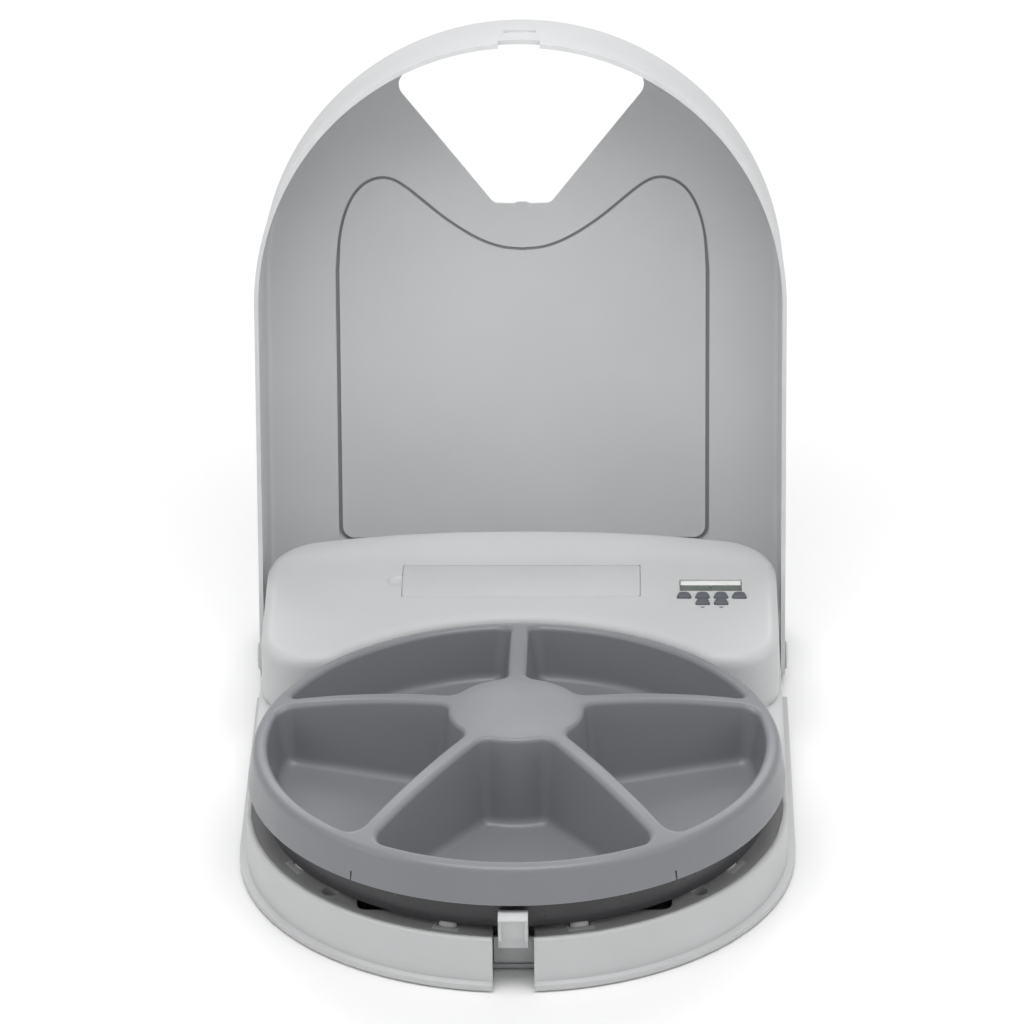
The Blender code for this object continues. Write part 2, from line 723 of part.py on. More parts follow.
def build_tray(mat):
    radii = (HUB_FLAT_R, 60.0, 90.0, 118.0, 142.0)
    top = [(r, tray_top(r)) for r in radii]
    rim = [(RIM_R - 1.0, RIM_Z - 0.2), (RIM_R + 1.6, RIM_Z - 1.9), (RIM_R + 2.9, RIM_Z - 5.0),
           (TRAY_R, SKIRT_Z)]
    inner_rim = [(TRAY_R - TRAY_T, SKIRT_Z), (RIM_R + 0.5, RIM_Z - 5.6),
                 (RIM_R - 2.0, RIM_Z - TRAY_T - 1.0)]
    under = [(r, tray_top(r) - TRAY_T) for r in reversed(radii)]
    profile = [(0.0, tray_top(0))] + top + rim + inner_rim + under + [(0.0, tray_top(0) - TRAY_T)]
    tray = object_from(revolve(profile, TRAY_SIDES), "bowl_tray", mat, (0.0, 0.0, SKIRT_Z))
    bowls = object_from(five_fold(bowl_rings(2.3, BOWL_FLOOR_Z - 2.2, [(0.0, 12.0)])), "bowls")
    below = [(0.0, BOWL_FLOOR_Z - 4)] + [(RIM_R - 2.0, BOWL_FLOOR_Z - 4), (RIM_R - 2.0, RIM_Z - 1.6)]
    below += [(r, tray_top(r) - 1.2) for r in reversed(radii)] + [(0.0, tray_top(0) - 1.2)]
    common(bowls, object_from(revolve(below, TRAY_SIDES), "below"))
    track_z0 = ROLLER_Z + ROLLER_R + GAP
    track_z1 = BOWL_FLOOR_Z + 3.0
    band = [(TRACK_R0, track_z0), (TRACK_R1, track_z0), (TRACK_R1, track_z1), (TRACK_R0, track_z1)]
    track = object_from(revolve(band, TRAY_SIDES), "track")
    socket = object_from(cylinder(15.0, 73.5, tray_top(0) - 1.0, 32), "socket")
    join(tray, bowls, track, socket)
    lips = [(0.3, -2.4), (-0.6, -0.8), (-2.4, 0.0), (-2.4, 14.0)]
    wells = object_from(five_fold(bowl_rings(0.0, BOWL_FLOOR_Z, lips)), "wells")
    hexagon = object_from(prism(hex_outline(9.4 + GAP), 70.0, 88.0), "hexagon")
    slits = bmesh.new()
    for k in range(BOWLS):
        one = box(TRAY_R - 4.0, TRAY_R + 3.0, -0.6, 0.6, SKIRT_Z - 2.0, SKIRT_Z + 5.0)
        merge(slits, place(one, spin_z(90.0 + 72.0 * k)))
    cut(tray, wells, hexagon, object_from(slits, "slits"))
    keep_material(tray, mat)
    shade(tray)
    return tray


# ---------------------------------------------------------------- rear housing

def housing_plan():
    """Plan of the rear housing: hollow front round the tray, horns at the sides, rounded rear."""
    side = HOUSING_SIDE_X
    front = HOUSING_FRONT_Y
    horn = [(side, front + 30.0), (side - 1.6, front + 19.0), (side - 6.5, front + 9.5),
            (side - 14.0, front + 3.2), (side - 23.0, front + 0.2), (side - 32.0, front - 0.2)]
    bend = [(112.5, front + 0.6)]
    rear_y = BASE_REAR_Y - 1.0
    points = [(-x, y) for x, y in horn] + [(-x, y) for x, y in bend]
    points += arc(0, 0, HOUSING_FRONT_R, 133.0, 47.0, 22)
    points += bend[::-1] + horn[::-1]
    points += arc(side - REAR_CORNER_R, rear_y - REAR_CORNER_R, REAR_CORNER_R, 0, 90, 6)
    points += [(x, rear_y) for x in (96, 72, 48, 24, 0, -24, -48, -72, -96)]
    points += arc(-side + REAR_CORNER_R, rear_y - REAR_CORNER_R, REAR_CORNER_R, 90, 180, 6)
    return points


def rounded_block(plan, z0, height, radius):
    """Block with a top surface given by height(x, y) and a rounded top edge."""
    rings = [[(x, y, z0) for x, y in plan]]
    for theta in (0, 22.5, 45, 67.5, 90):
        t = math.radians(theta)
        ring = inset(plan, radius * (1 - math.cos(t))) if theta else plan
        rings.append([(x, y, height(x, y) - radius * (1 - math.sin(t))) for x, y in ring])
    return loft(rings)


def build_rear_housing(mat):
    plan = housing_plan()
    z0 = BASE_TOP_Z + GAP
    block = object_from(rounded_block(plan, z0, lambda x, y: min(face_z(y), hump_z(x) - 0.2), EDGE_R),
                        "rear_housing", mat)
    rear = [p for p in plan if p[1] > 205.0]
    rear_y = BASE_REAR_Y - 1.0
    side = HOUSING_SIDE_X
    xs = (96, 72, 48, 24, 0, -24, -48, -72, -96)
    hump_plan = [(-side, 205.0), (-110, 205.0)] + [(x, 205.0) for x in reversed(xs)]
    hump_plan += [(110, 205.0), (side, 205.0)]
    hump_plan += arc(side - REAR_CORNER_R, rear_y - REAR_CORNER_R, REAR_CORNER_R, 0, 90, 6)
    hump_plan += [(x, rear_y) for x in xs]
    hump_plan += arc(-side + REAR_CORNER_R, rear_y - REAR_CORNER_R, REAR_CORNER_R, 90, 180, 6)
    hump = object_from(rounded_block(hump_plan, z0 + 20.0, lambda x, y: hump_z(x), 6.0), "hump")
    low = 190.0
    riser = [(low, face_z(CREASE_Y) - 30), (CREASE_Y - 15.0, face_z(CREASE_Y) - 30),
             (CREASE_Y, face_z(CREASE_Y)), (CREASE_Y + 60, face_z(CREASE_Y) + 60 * RISER_SLOPE),
             (CREASE_Y + 60, 140.0), (low, 140.0)]
    front_cut = object_from(loft([[(x, y, z) for y, z in riser] for x in (-200.0, 200.0)]), "front_cut")
    cut(hump, front_cut)
    join(block, hump)
    inner = inset(plan, HOUSING_T)
    roof = [[(x, y, z0 - 5) for x, y in inner]]
    for ring, drop in ((inner, HOUSING_T + 5.5), (inset(plan, HOUSING_T + 5.5), HOUSING_T)):
        roof.append([(x, y, min(face_z(y), hump_z(x)) - drop) for x, y in ring])
    tools = [object_from(loft(roof), "cavity")]
    step = DOOR_T + GAP
    tools.append(slanted_box(-DOOR_HALF_X, DOOR_HALF_X, DOOR_Y0, DOOR_Y1, -step, 8.0, "door_seat"))
    tools.append(slanted_box(-DOOR_HALF_X + 3, DOOR_HALF_X - 3, DOOR_Y0 + 2, DOOR_Y1 - 2, -12.0, 3.0,
                             "door_hole"))
    scoop = revolve([(0.0, -5.0), (3.4, -3.8), (6.0, 0.0), (6.6, 3.0), (0.0, 3.0)], 24)
    place(scoop, Matrix.Diagonal((1.45, 1.15, 0.5, 1)))
    place(scoop, Matrix.Translation((-DOOR_HALF_X - 0.6, CELL_Y, face_z(CELL_Y))))
    tools.append(object_from(scoop, "scoop"))
    tools.append(slanted_box(DISPLAY_X0, DISPLAY_X1, DISPLAY_Y0, DISPLAY_Y1, -12.0, 3.0, "display_hole"))
    for _, x, y in key_points():
        tools.append(slanted_prism(key_plan(x, y, GAP), -12.0, 3.0, "key_hole"))
    cut(block, *tools)
    keep_material(block, mat)
    shade(block)
    return block


def slanted_prism(plan, low, high, name, mat=None, origin=(0, 0, 0)):
    """Prism measured from the sloping main face, its ends parallel to that face."""
    rings = [[(x, y, face_z(y) + d) for x, y in plan] for d in (low, high)]
    return object_from(loft(rings), name, mat, origin)


def slanted_box(x0, x1, y0, y1, low, high, name, mat=None):
    return slanted_prism([(x0, y0), (x1, y0), (x1, y1), (x0, y1)], low, high, name, mat)


def build_battery_door(mat):
    g = GAP
    x = DOOR_HALF_X - g
    y0 = DOOR_Y0 + g
    y1 = DOOR_Y1 - g
    plan = rounded([(-x, y0, 1.2), (x, y0, 1.2), (x, y1, 1.2), (-x, y1, 1.2)], 2)
    door = slanted_prism(plan, -DOOR_T, 0.0, "battery_door", mat, (0.0, CELL_Y, face_z(CELL_Y)))
    lip = slanted_box(DOOR_HALF_X - 9, DOOR_HALF_X - 3.6, DOOR_Y0 + 8, DOOR_Y1 - 8,
                      -DOOR_T - 3.0, -DOOR_T + 0.6, "lip")
    catch = slanted_box(-DOOR_HALF_X + 3.6, -DOOR_HALF_X + 5.8, CELL_Y - 6, CELL_Y + 6,
                        -DOOR_T - 4.0, -DOOR_T + 0.6, "catch")
    join(door, lip, catch)
    keep_material(door, mat)
    shade(door)
    return door


def cell_points():
    low_z = CELL_TOP_Z - 2 * CELL_R - 0.4
    half = CELL_L / 2 + GAP
    return (("upper_left", -half, CELL_TOP_Z, 1), ("upper_right", half, CELL_TOP_Z, 1),
            ("lower_left", -half, low_z, -1), ("lower_right", half, low_z, -1))


def build_battery(box_mat, cell_mat, metal):
    low_z = CELL_TOP_Z - 2 * CELL_R - 0.4
    span = CELL_L + 2 * GAP + 4.6
    half_y = CELL_R + 0.5
    floor = low_z - CELL_R - 0.5
    z_top = face_z(DOOR_Y0) - HOUSING_T - DOOR_T - 0.9
    bin_box = object_from(box(-span - 1.5, span + 1.5, CELL_Y - half_y - 1.5, CELL_Y + half_y + 1.5,
                              floor - 1.0, z_top), "battery_box", box_mat)
    cut(bin_box, object_from(box(-span, span, CELL_Y - half_y, CELL_Y + half_y, floor, z_top + 5), "bin"))
    keep_material(bin_box, box_mat)
    nub_r = 4.4
    for name, x, z, side in cell_points():
        half = CELL_L / 2
        shoulder = half - CELL_NUB
        profile = [(0.0, -half + 0.4), (CELL_R - 2.5, -half + 0.4), (CELL_R - 1.5, -half),
                   (CELL_R, -half + 0.9), (CELL_R, shoulder - 0.9), (CELL_R - 1.2, shoulder),
                   (nub_r, shoulder), (nub_r - 0.4, half), (0.0, half)]
        turn = Matrix.Rotation(math.radians(90 * side), 4, "Y")
        bm = place(revolve(profile, 20), Matrix.Translation((x, CELL_Y, z)) @ turn)
        shade(object_from(bm, "cell_" + name, cell_mat, (x, CELL_Y, z)))
    reach = span - GAP
    for side, name in ((-1, "left"), (1, "right")):
        x0, x1 = sorted((side * reach, side * (reach - 0.6)))
        strip = box(x0, x1, CELL_Y - 9, CELL_Y + 9, low_z - 9, CELL_TOP_Z + 9)
        plate = object_from(strip, "contact_" + name, metal)
        z = CELL_TOP_Z if side < 0 else low_z
        other = low_z if side < 0 else CELL_TOP_Z
        d0, d1 = sorted((side * (reach - 0.3), side * (reach - 3.6)))
        dimple = object_from(crosswise(4.0, d0, d1, CELL_Y, other, 16), "dimple")
        join(plate, dimple)
        keep_material(plate, metal)
        shade(plate)
        a = reach - 0.6 - GAP
        b = CELL_L + GAP * 2 + 0.1
        name = "battery_spring_upper" if side < 0 else "battery_spring_lower"
        side_coil(side * a, side * b, 6.0, 0.4, 2.5, CELL_Y, z, name, metal)


def side_coil(x0, x1, radius, wire, turns, y, z, name, mat):
    rings = []
    steps = int(turns * 11)
    way = 1 if x1 > x0 else -1
    start = x0 + way * wire
    end = x1 - way * wire
    for i in range(steps + 1):
        t = i / steps
        a = math.tau * turns * t
        r = radius - 2.6 * t
        mid = Vector((start + (end - start) * t, y + r * math.cos(a), z + r * math.sin(a)))
        out = Vector((0.0, math.cos(a), math.sin(a)))
        rings.append([tuple(mid + out * (wire * u) + Vector((wire * v, 0, 0))) for u, v in circle(1.0, 5)])
    shade(object_from(loft(rings), name, mat), 60)


def key_points():
    upper = [("key_upper_%d" % (i + 1), KEY_X0 + KEY_PITCH * i, KEY_Y0) for i in range(4)]
    lower = [("key_lower_%d" % (i + 1), KEY_X0 + KEY_PITCH * (i + 1), KEY_Y1) for i in range(2)]
    return upper + lower


def key_plan(x, y, grow=0.0):
    """Key outline: straight rear edge and a bowed front edge."""
    w = KEY_W / 2 + grow
    d = KEY_D / 2 + grow
    right = [(0.36, -d * 0.93), (0.72, -d * 0.66), (0.96, -0.2), (1.0, d - 1.6), (1.0 - 1.4 / w, d)]
    left = [(-u, v) for u, v in reversed(right)]
    return [(x + w * u, y + v) for u, v in left + [(0.0, -d)] + right]


def build_controls(key_mat, glass_mat, module_mat, board_mat):
    for name, x, y in key_points():
        shrink = inset(key_plan(x, y), 0.6)
        rings = [[(a, b, face_z(b) - 4.2) for a, b in key_plan(x, y)],
                 [(a, b, face_z(b) + 0.9) for a, b in key_plan(x, y)],
                 [(a, b, face_z(b) + 1.4) for a, b in shrink]]
        shade(object_from(loft(rings), name, key_mat, (x, y, face_z(y))))
    for name, grow, low, high, mat in (("display_glass", -GAP, -2.6, -1.4, glass_mat),
                                       ("display_module", 2.0, -6.2, -3.5, module_mat)):
        slanted_box(DISPLAY_X0 - grow, DISPLAY_X1 + grow, DISPLAY_Y0 - grow, DISPLAY_Y1 + grow,
                    low, high, name, mat)
    board = rounded([(88.0, 168.0, 2), (140.0, 168.0, 2), (140.0, 208.0, 2), (88.0, 208.0, 2)], 2)
    slanted_prism(board, -8.2, -6.6, "circuit_board", board_mat)


# ---------------------------------------------------------------- lid

def lid_stations(rear_y):
    """Outline points with their inward directions, from the left rear round to the right rear."""
    rows = [rear_y * share for share in (1.0, 0.72, 0.45, 0.2)]
    stations = [(Vector((-LID_R, y)), Vector((1.0, 0.0))) for y in rows]
    for x, y in arc(0, 0, 1.0, 180, 360, 38):
        stations.append((Vector((x, y)) * LID_R, Vector((-x, -y))))
    stations += [(Vector((LID_R, y)), Vector((-1.0, 0.0))) for y in reversed(rows)]
    return stations


def sweep(outer, inner, rear_y):
    """Shell between two profiles of (distance inwards, height) carried round the lid outline."""
    bm = bmesh.new()
    loops = []
    for point, way in lid_stations(rear_y):
        top = [bm.verts.new((*(point + way * d), z)) for d, z in outer]
        low = [bm.verts.new((*(point + way * d), z)) for d, z in inner]
        loops.append((top, low))
    for (top_a, low_a), (top_b, low_b) in zip(loops, loops[1:]):
        for row_a, row_b in ((top_a, top_b), (low_a, low_b)):
            for j in range(len(row_a) - 1):
                bm.faces.new((row_a[j], row_b[j], row_b[j + 1], row_a[j + 1]))
        bm.faces.new((top_a[0], top_b[0], low_b[0], low_a[0]))
    for top, low in (loops[0], loops[-1]):
        bm.faces.new(top + low[::-1])
    bmesh.ops.remove_doubles(bm, verts=bm.verts[:], dist=0.001)
    return bm


def lid_layer(depth0, depth1, rear_y):
    """Domed layer lying between two depths below the outer face of the lid."""
    inwards = (14.0, 30.0, 55.0, 85.0, 115.0, 140.0, LID_R)
    outer = [(d, lid_top(LID_R - d) - depth0) for d in inwards]
    inner = [(d, lid_top(LID_R - d) - depth1) for d in inwards]
    return sweep(outer, inner, rear_y)


def tilt(obj):
    """Swing a finished lid piece from closed to open about the hinge."""
    bm = bmesh.new()
    bm.from_mesh(obj.data)
    offset = Vector((0, HINGE_Y, HINGE_Z)) * MM - obj.location
    turn = Matrix.Translation(offset) @ Matrix.Rotation(math.radians(-LID_OPEN), 4, "X")
    bmesh.ops.transform(bm, matrix=turn @ Matrix.Translation(-offset), verts=bm.verts[:])
    bm.to_mesh(obj.data)
    bm.free()


def lid_profiles():
    centre_z = lid_top(LID_R - LID_FILLET) - LID_FILLET
    outer = [(0.0, LID_EDGE_Z), (0.0, centre_z)]
    inner = [(LID_T, LID_EDGE_Z), (LID_T, centre_z)]
    small = LID_FILLET - LID_T
    for theta in (22.5, 45.0, 67.5, 90.0):
        t = math.radians(theta)
        outer.append((LID_FILLET - LID_FILLET * math.cos(t), centre_z + LID_FILLET * math.sin(t)))
        inner.append((LID_FILLET - small * math.cos(t), centre_z + small * math.sin(t)))
    for d in (14.0, 30.0, 55.0, 85.0, 115.0, 140.0, LID_R):
        z = lid_top(LID_R - d)
        outer.append((d, z))
        inner.append((d, z - LID_T))
    return outer, inner


def window_plan():
    """Wedge opening over the front bowl."""
    front = [(x, y, 0.0) for x, y in arc(0, 0, WINDOW_R, -117.0, -63.0, 8)]
    points = [(-WINDOW_X, WINDOW_Y, 9.0)] + front + [(WINDOW_X, WINDOW_Y, 9.0)]
    points += [(17.4, -44.0, 6.0), (5.0, -43.6, 3.0), (2.6, -44.6, 0.0), (-2.6, -44.6, 0.0),
               (-5.0, -43.6, 3.0), (-17.4, -44.0, 6.0)]
    return rounded(points, 4)


def panel_plan(side_x, rear_y, grow=0.0):
    """Panel outline: two humps in front with a hollow between them, straight sides."""
    half = [(0.0, -15.0), (12.0, -16.2), (24.0, -20.2), (36.0, -26.8), (48.0, -35.2), (60.0, -45.2),
            (70.0, -53.6), (78.0, -58.8), (85.0, -60.4), (92.0, -59.0), (98.5, -54.8), (104.0, -47.6),
            (108.4, -37.0), (111.4, -23.0), (side_x, -3.0)]
    right = half + [(side_x, rear_y - 8.0), (side_x - 2.4, rear_y - 2.4), (side_x - 8.0, rear_y)]
    left = [(-x, y) for x, y in reversed(right) if x > 0.0]
    points = (right + left)
    return inset(points, -grow) if grow else points


def build_lid(mat, panel_mat, pin_mat):
    outer, inner = lid_profiles()
    lid = object_from(sweep(outer, inner, LID_REAR_Y), "lid_shell", mat, (0.0, HINGE_Y, HINGE_Z))
    for side in (-1, 1):
        x0, x1 = sorted((side * (LID_R - LID_T), side * LID_R))
        tab = object_from(crosswise(HINGE_TAB_R, x0, x1, HINGE_Y, HINGE_Z, 32), "tab")
        web = [(HINGE_Y - 30.0, LID_EDGE_Z), (HINGE_Y - 4.0, LID_EDGE_Z - 1.2), (HINGE_Y + 11.9, 19.5),
               (HINGE_Y + 4.5, 40.0), (HINGE_Y - 4.5, 62.0), (HINGE_Y - 30.0, 62.0)]
        gusset = object_from(loft([[(x, y, z) for y, z in web] for x in (x0, x1)]), "gusset")
        join(lid, tab, gusset)
    tools = [object_from(prism(window_plan(), 60.0, 140.0), "window")]
    tools.append(object_from(box(-9.6, 9.6, -175.0, -150.0, LATCH_TOP_Z - 4.2, LATCH_TOP_Z + 3.0), "slot"))
    tools.append(object_from(box(-12.4, 12.4, -175.0, -150.0, 0.0, LID_EDGE_Z + 12.0), "finger"))
    holes = bmesh.new()
    for side in (-1, 1):
        crosswise(PIN_R + 0.3, side * 150.0, side * 165.0, HINGE_Y, HINGE_Z, 20, holes)
    tools.append(object_from(holes, "pin_holes"))
    recess = object_from(lid_layer(RECESS_DEPTH, LID_T + 6.0, LID_REAR_Y + 8.0), "recess")
    recess_plan = panel_plan(113.2, LID_REAR_Y + 30.0, 1.0)
    common(recess, object_from(prism(recess_plan, 40.0, 140.0), "recess_plan"))
    tools.append(recess)
    cut(lid, *tools)
    keep_material(lid, mat)
    tilt(lid)
    shade(lid)
    layer = lid_layer(RECESS_DEPTH + GAP, LID_T + PANEL_PROUD, LID_REAR_Y + 8.0)
    panel = object_from(layer, "lid_panel", panel_mat, (0.0, HINGE_Y, HINGE_Z))
    common(panel, object_from(prism(panel_plan(112.6, 166.8), 40.0, 140.0), "panel_plan"))
    keep_material(panel, panel_mat)
    tilt(panel)
    shade(panel)
    for side, name in ((-1, "left"), (1, "right")):
        stem = [(0.0, 151.2), (PIN_R, 151.2), (PIN_R, LID_R + GAP), (8.6, LID_R + GAP), (8.6, LID_R + 1.0),
                (7.6, LID_R + 1.7), (0.0, LID_R + 1.9)]
        turn = Matrix.Rotation(math.radians(90 * side), 4, "Y")
        bm = place(revolve(stem, 20), Matrix.Translation((0, HINGE_Y, HINGE_Z)) @ turn)
        shade(object_from(bm, "hinge_pin_" + name, pin_mat, (0.0, HINGE_Y, HINGE_Z)))


def centre_on_floor():
    """Shift everything so the frame origin is the middle of the bottom of the whole object."""
    bpy.context.view_layer.update()
    corners = []
    for obj in bpy.data.objects:
        corners += [obj.matrix_world @ vert.co for vert in obj.data.vertices]
    low = [min(point[axis] for point in corners) for axis in range(3)]
    high = [max(point[axis] for point in corners) for axis in range(3)]
    shift = Vector(((low[0] + high[0]) / 2, (low[1] + high[1]) / 2, low[2]))
    for obj in bpy.data.objects:
        obj.location -= shift


def build_all():
    clear_scene()
    grey = make_material("light_grey_plastic", (0.60, 0.61, 0.62), 0.45)
    lid_grey = make_material("lid_grey_plastic", (0.54, 0.56, 0.57), 0.42)
    panel_grey = make_material("panel_grey_plastic", (0.52, 0.54, 0.55), 0.50)
    cover_grey = make_material("cover_grey_plastic", (0.45, 0.46, 0.47), 0.55)
    tray_grey = make_material("tray_grey_plastic", (0.27, 0.28, 0.30), 0.42)
    rubber = make_material("black_rubber", (0.03, 0.03, 0.03), 0.80)
    white = make_material("white_acetal", (0.78, 0.79, 0.79), 0.35)
    steel = make_material("zinc_steel", (0.55, 0.55, 0.56), 0.35, 1.0)
    key_grey = make_material("dark_grey_key", (0.10, 0.11, 0.12), 0.60)
    glass = make_material("display_glass", (0.16, 0.19, 0.17), 0.12)
    black = make_material("black_plastic", (0.03, 0.03, 0.03), 0.50)
    green = make_material("green_board", (0.03, 0.16, 0.07), 0.50)
    cell = make_material("cell_wrap", (0.10, 0.10, 0.11), 0.35, 0.3)
    build_base_shell(grey)
    build_bottom_cover(cover_grey)
    build_feet(rubber)
    build_screws(steel)
    build_rollers(white)
    build_latch(grey, steel)
    build_drive(white, steel, black)
    build_tray(tray_grey)
    build_rear_housing(grey)
    build_battery_door(grey)
    build_battery(black, cell, steel)
    build_controls(key_grey, glass, white, green)
    build_lid(lid_grey, panel_grey, grey)
    centre_on_floor()


build_all()
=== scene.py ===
"""Automatic pet feeder: surface finishes, detailed pieces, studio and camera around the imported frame."""
import json
import math

import bmesh
import bpy
from mathutils import Matrix, Vector


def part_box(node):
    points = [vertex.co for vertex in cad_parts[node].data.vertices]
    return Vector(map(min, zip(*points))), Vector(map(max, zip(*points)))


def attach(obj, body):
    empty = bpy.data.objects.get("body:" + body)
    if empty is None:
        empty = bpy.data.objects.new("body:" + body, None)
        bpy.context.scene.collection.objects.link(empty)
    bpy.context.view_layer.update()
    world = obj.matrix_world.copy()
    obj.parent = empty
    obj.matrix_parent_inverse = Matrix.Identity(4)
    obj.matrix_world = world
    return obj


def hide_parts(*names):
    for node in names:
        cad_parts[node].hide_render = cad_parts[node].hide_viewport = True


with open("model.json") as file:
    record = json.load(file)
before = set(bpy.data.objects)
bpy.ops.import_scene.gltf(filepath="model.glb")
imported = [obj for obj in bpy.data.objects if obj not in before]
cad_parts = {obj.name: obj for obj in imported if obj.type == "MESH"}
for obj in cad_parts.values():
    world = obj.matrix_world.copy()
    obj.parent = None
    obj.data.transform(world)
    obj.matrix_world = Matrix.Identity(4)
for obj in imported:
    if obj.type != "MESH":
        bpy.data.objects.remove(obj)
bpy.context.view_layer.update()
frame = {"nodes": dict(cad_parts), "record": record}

MM = 0.001
HINGE_AT = (219.5, 15.5)    # millimetres back from the tray's axis, and up
OPEN_ANGLE = math.radians(101.1)
PIN_LOW, PIN_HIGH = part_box("hinge_pin_left")
HINGE = (PIN_LOW + PIN_HIGH) / 2
AXIS = Vector((0.0, HINGE.y - HINGE_AT[0] * MM, 0.0))
BODY_OF = {node: body for body, nodes in frame["record"]["behaviour"]["bodies"].items() for node in nodes}
SLOT_OF = {part["node"]: part["material_slot"] for part in frame["record"]["subparts"]}
TO_FRAME = Matrix.Translation(AXIS) @ Matrix.Scale(MM, 4)
OPEN_LID = (Matrix.Translation((0, HINGE.y, HINGE.z)) @ Matrix.Rotation(-OPEN_ANGLE, 4, "X")
            @ Matrix.Translation((0, -HINGE.y, -HINGE.z)) @ TO_FRAME)


# ------------------------------------------------------------ finishes

class Finish:
    """A Principled material whose patterns read Object coordinates."""

    def __init__(self, name, colour, roughness, **settings):
        self.mat = bpy.data.materials.new(name)
        self.mat.use_nodes = True
        self.tree = self.mat.node_tree
        self.shader = self.tree.nodes["Principled BSDF"]
        self.shader.inputs["Base Color"].default_value = (*colour, 1.0)
        self.shader.inputs["Roughness"].default_value = roughness
        for key, value in settings.items():
            self.shader.inputs[key.replace("_", " ")].default_value = value
        coords = self.node("ShaderNodeTexCoord")
        self.where = coords.outputs["Object"]

    def node(self, kind, **values):
        made = self.tree.nodes.new(kind)
        for key, value in values.items():
            setattr(made, key, value)
        return made

    def link(self, source, target):
        self.tree.links.new(source, target)

    def noise(self, scale, detail=3.0, roughness=0.5, stretch=None):
        made = self.node("ShaderNodeTexNoise")
        made.inputs["Scale"].default_value = scale
        made.inputs["Detail"].default_value = detail
        made.inputs["Roughness"].default_value = roughness
        source = self.where
        if stretch:
            mapping = self.node("ShaderNodeMapping")
            mapping.inputs["Scale"].default_value = stretch
            self.link(self.where, mapping.inputs["Vector"])
            source = mapping.outputs["Vector"]
        self.link(source, made.inputs["Vector"])
        return made.outputs["Fac"]

    def ramp(self, source, low, high, out_low, out_high):
        made = self.node("ShaderNodeMapRange")
        for index, value in enumerate((low, high, out_low, out_high), 1):
            made.inputs[index].default_value = value
        self.link(source, made.inputs[0])
        return made.outputs[0]

    def tint(self, factor, first, second):
        made = self.node("ShaderNodeMix", data_type="RGBA")
        made.inputs[6].default_value = (*first, 1.0)
        made.inputs[7].default_value = (*second, 1.0)
        self.link(factor, made.inputs[0])
        return made.outputs[2]

    def math(self, operation, first, second):
        made = self.node("ShaderNodeMath", operation=operation)
        for index, value in enumerate((first, second)):
            if isinstance(value, (int, float)):
                made.inputs[index].default_value = value
            else:
                self.link(value, made.inputs[index])
        return made.outputs[0]

    def bump(self, height, strength, distance, below=None):
        made = self.node("ShaderNodeBump")
        made.inputs["Strength"].default_value = strength
        made.inputs["Distance"].default_value = distance
        self.link(height, made.inputs["Height"])
        if below is not None:
            self.link(below, made.inputs["Normal"])
        return made.outputs["Normal"]


def lighter(colour, amount):
    return tuple(min(1.0, c * (1.0 + amount)) for c in colour)


def moulded(name, colour, roughness, spark=1500.0, depth=0.00004, worn=0.10, painted_shade=0.0):
    """Moulded plastic: fine grain, faint clouding and rubbed edges; the last setting darkens the flagged
    faces with painted shade.
    """
    f = Finish(name, colour, roughness)
    cloud = f.ramp(f.noise(14.0, 4.0), 0.35, 0.65, 0.0, 1.0)
    base = f.tint(cloud, lighter(colour, -0.018), lighter(colour, 0.018))
    edge = f.node("ShaderNodeNewGeometry").outputs["Pointiness"]
    patchy = f.ramp(f.noise(90.0), 0.35, 0.7, 0.3, 1.0)
    rubbed = f.math("MULTIPLY", f.ramp(edge, 0.53, 0.60, 0.0, 1.0), patchy)
    mix = f.node("ShaderNodeMix", data_type="RGBA")
    mix.inputs[7].default_value = (*lighter(colour, worn), 1.0)
    f.link(rubbed, mix.inputs[0])
    f.link(base, mix.inputs[6])
    colour_out = mix.outputs[2]
    # Painted shade: faces flagged under the tray's skirt take a much darker colour.
    if painted_shade:
        under = f.node("ShaderNodeAttribute", attribute_name="underside").outputs["Fac"]
        dim = f.node("ShaderNodeMix", data_type="RGBA")
        dim.inputs[7].default_value = (*lighter(colour, -painted_shade), 1.0)
        f.link(under, dim.inputs[0])
        f.link(colour_out, dim.inputs[6])
        colour_out = dim.outputs[2]
    f.link(colour_out, f.shader.inputs["Base Color"])
    patches = f.ramp(f.noise(32.0, 3.0), 0.3, 0.7, roughness - 0.035, roughness + 0.045)
    f.link(f.math("SUBTRACT", patches, f.math("MULTIPLY", rubbed, 0.08)), f.shader.inputs["Roughness"])
    grain = f.noise(spark, 2.0, 0.6)
    wave = f.bump(f.noise(22.0, 1.0), 0.10, 0.0006)
    f.link(f.bump(grain, 0.35, depth, wave), f.shader.inputs["Normal"])
    return f.mat


def turned_metal(name, colour, roughness, stretch):
    """Drawn or plated steel with fine directional marks."""
    f = Finish(name, colour, roughness, Metallic=1.0)
    lines = f.noise(260.0, 3.0, 0.6, stretch)
    clouds = f.tint(f.noise(40.0), lighter(colour, -0.12), lighter(colour, 0.08))
    f.link(clouds, f.shader.inputs["Base Color"])
    f.link(f.ramp(lines, 0.3, 0.7, roughness - 0.07, roughness + 0.10), f.shader.inputs["Roughness"])
    f.link(f.bump(lines, 0.25, 0.00004), f.shader.inputs["Normal"])
    return f.mat


def rubber(name, colour):
    f = Finish(name, colour, 0.82)
    dust = f.ramp(f.noise(220.0, 4.0), 0.55, 0.8, 0.0, 0.5)
    f.link(f.tint(dust, colour, (0.12, 0.115, 0.11)), f.shader.inputs["Base Color"])
    f.link(f.ramp(f.noise(500.0), 0.3, 0.7, 0.72, 0.92), f.shader.inputs["Roughness"])
    f.link(f.bump(f.noise(1400.0, 2.0), 0.4, 0.00005), f.shader.inputs["Normal"])
    return f.mat


